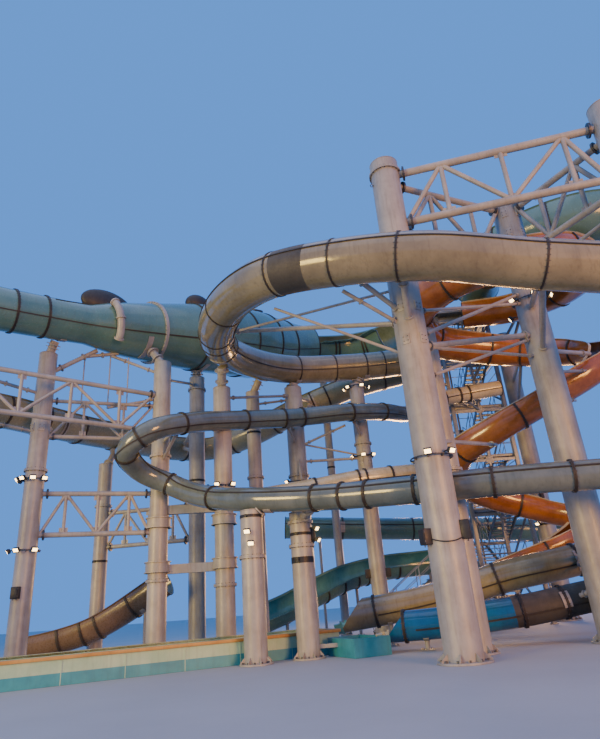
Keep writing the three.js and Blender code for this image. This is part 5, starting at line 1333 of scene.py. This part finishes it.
channel = dict(x=-11.42, y=17.93, length=12.6, width=2.6, height=0.78, wall=0.12, floor=0.14, rim=0.06,
               water=0.5)
basin = dict(x=0.62, y=20.25, length=1.3, width=2.0, height=0.55, wall=0.12, floor=0.14, rim=0.0, water=0.42)
poolBuild = dict(ribGap=1.8, ribHalf=0.012, ribRise=0.008, skirt=0.42, skirtRise=0.006, rimDrop=0.1,
                 waterThick=0.03, waterGap=0.002)
poolSlots = dict(wall=0, rim=1, skirt=2)
poolTurn = Matrix.Rotation(radians(23.5), 4, "Z")


def addPool(bm, spec):
    # a trough hollowed out of one block; with a rim it also has boards, joint ribs and a darker skirt
    place = Matrix.Translation(spot(spec["x"], spec["y"])) @ poolTurn
    length, half, height, rim = spec["length"], spec["width"] / 2, spec["height"], spec["rim"]
    body = addBlock(bm, (0, -half, 0), (length, half, height - (0.004 if rim else 0)), 0, place)
    top = max(facesOf(body), key=lambda face: face.calc_center_median().z)
    bmesh.ops.inset_region(bm, faces=[top], thickness=spec["wall"], use_even_offset=True)
    sunk = bmesh.ops.extrude_discrete_faces(bm, faces=[top])["faces"][0]
    bmesh.ops.translate(bm, verts=sunk.verts, vec=(0, 0, spec["floor"] - height))
    if rim:
        build, board = poolBuild, poolSlots["rim"]
        wide, under = spec["wall"] + rim, height - poolBuild["rimDrop"]
        for y0, y1 in ((-half - rim, -half - rim + wide), (half + rim - wide, half + rim)):
            addBlock(bm, (-rim, y0, under), (length + rim, y1, height), board, place, 0.015)
        for x0 in (-rim, length + rim - wide):
            low, high = (x0, -half - rim + wide, under), (x0 + wide, half + rim - wide, height)
            addBlock(bm, low, high, board, place, 0.015)
        rise, reach = build["ribRise"], build["ribHalf"]
        for k in range(1, round(length / build["ribGap"])):
            x = build["ribGap"] * k
            for y in (-half - rise, half + rise):
                low, high = (x - reach, y - rise, 0.0), (x + reach, y + rise, under)
                addBlock(bm, low, high, poolSlots["wall"], place)
        rise = build["skirtRise"]
        for y in (-half - rise, half + rise):
            addBlock(bm, (0.01, y - rise, 0.0), (length - 0.01, y + rise, height * build["skirt"]),
                     poolSlots["skirt"], place)


def addWater(name, spec):
    # a thin slab of water a hair clear of the pool's walls
    bm = bmesh.new()
    place = Matrix.Translation(spot(spec["x"], spec["y"])) @ poolTurn
    half, inset = spec["width"] / 2, spec["wall"] + poolBuild["waterGap"]
    addBlock(bm, (inset, -half + inset, spec["water"] - poolBuild["waterThick"]),
             (spec["length"] - inset, half - inset, spec["water"]), 0, place)
    finishPiece(name, bm, [waterSurface])


for label, spec in (("runout_channel", channel), ("catch_basin", basin)):
    bm = bmesh.new()
    addPool(bm, spec)
    coats = [poolCoating if spec["rim"] else plinthCoating, rimCoating, plinthCoating]
    finishPiece("coated_" + label, bm, coats, [label])
    addWater(label + "_water", spec)
print("pools")

# eye of the photograph, its lens for a 36 mm high sensor, and the slope and roll of its line of sight
view = dict(place=(-0.9563, -23.5552, 1.65), lens=27.28, sensor=36, clipEnd=500, rise=0.3864, level=0.9223,
            rollCos=0.9970, rollSin=0.0771)
cameraData = bpy.data.cameras.new("photo_camera")
cameraData.sensor_fit = "VERTICAL"
cameraData.sensor_height = view["sensor"]
cameraData.sensor_width = view["sensor"]
cameraData.lens = view["lens"]
cameraData.clip_end = view["clipEnd"]
camera = bpy.data.objects.new("photo_camera", cameraData)
bpy.context.scene.collection.objects.link(camera)
sightUp = Vector((0, -view["rise"], view["level"]))
sight = Vector((0, view["level"], view["rise"]))
acrossView = Vector((1, 0, 0)) * view["rollCos"] - sightUp * view["rollSin"]
upView = Vector((1, 0, 0)) * view["rollSin"] + sightUp * view["rollCos"]
turn = Matrix((acrossView, upView, -sight)).transposed().to_4x4()
camera.matrix_world = Matrix.Translation(view["place"]) @ turn
bpy.context.scene.camera = camera

studio = dict(floorReach=150, floorDrop=0.004, surround="#5a9cf8", strength=1.05)
bm = bmesh.new()
bmesh.ops.create_grid(bm, x_segments=1, y_segments=1, size=studio["floorReach"])
mesh = bpy.data.meshes.new("studio_floor")
bm.to_mesh(mesh)
bm.free()
floorPiece = bpy.data.objects.new("studio_floor", mesh)
floorPiece.location = (0, 0, -studio["floorDrop"])
bpy.context.scene.collection.objects.link(floorPiece)
mesh.materials.append(coating("studio_floor_matt_paint", "#bdbbb6", "#b6b4af", "#a9a7a2", "#bdbbb6",
                              rough=(0.7, 0.85), patchMm=4000, grimeShare=0.1))

world = bpy.data.worlds.new("studio")
world.use_nodes = True
world.node_tree.nodes["Background"].inputs["Color"].default_value = linearColour(studio["surround"])
world.node_tree.nodes["Background"].inputs["Strength"].default_value = studio["strength"]
bpy.context.scene.world = world
lamps = {
    "overhead_softbox": dict(at=(-8, -12, 40), aim=(0, 0, 0), size=40, spread=170,
                             power=2400, colour="#eef0ff"),
    "low_front_softbox": dict(at=(24, -44, 9), aim=(4, 0, 8), size=14, spread=80,
                             power=3900, colour="#ffb04e"),
    "low_left_softbox": dict(at=(-36, -36, 9), aim=(-5, 2, 7), size=14, spread=80,
                             power=3900, colour="#ffd670"),
    "low_rear_softbox": dict(at=(16, 44, 9), aim=(4, 2, 9), size=14, spread=80,
                             power=3000, colour="#ffc070"),
}
for name, spec in lamps.items():
    data = bpy.data.lights.new(name, "AREA")
    data.size = spec["size"]
    data.spread = radians(spec["spread"])
    data.energy = spec["power"]
    data.color = linearColour(spec["colour"])[:3]
    lamp = bpy.data.objects.new(name, data)
    lamp.location = spec["at"]
    lamp.rotation_euler = (Vector(spec["aim"]) - Vector(spec["at"])).to_track_quat("-Z", "Y").to_euler()
    bpy.context.scene.collection.objects.link(lamp)
print("stage")
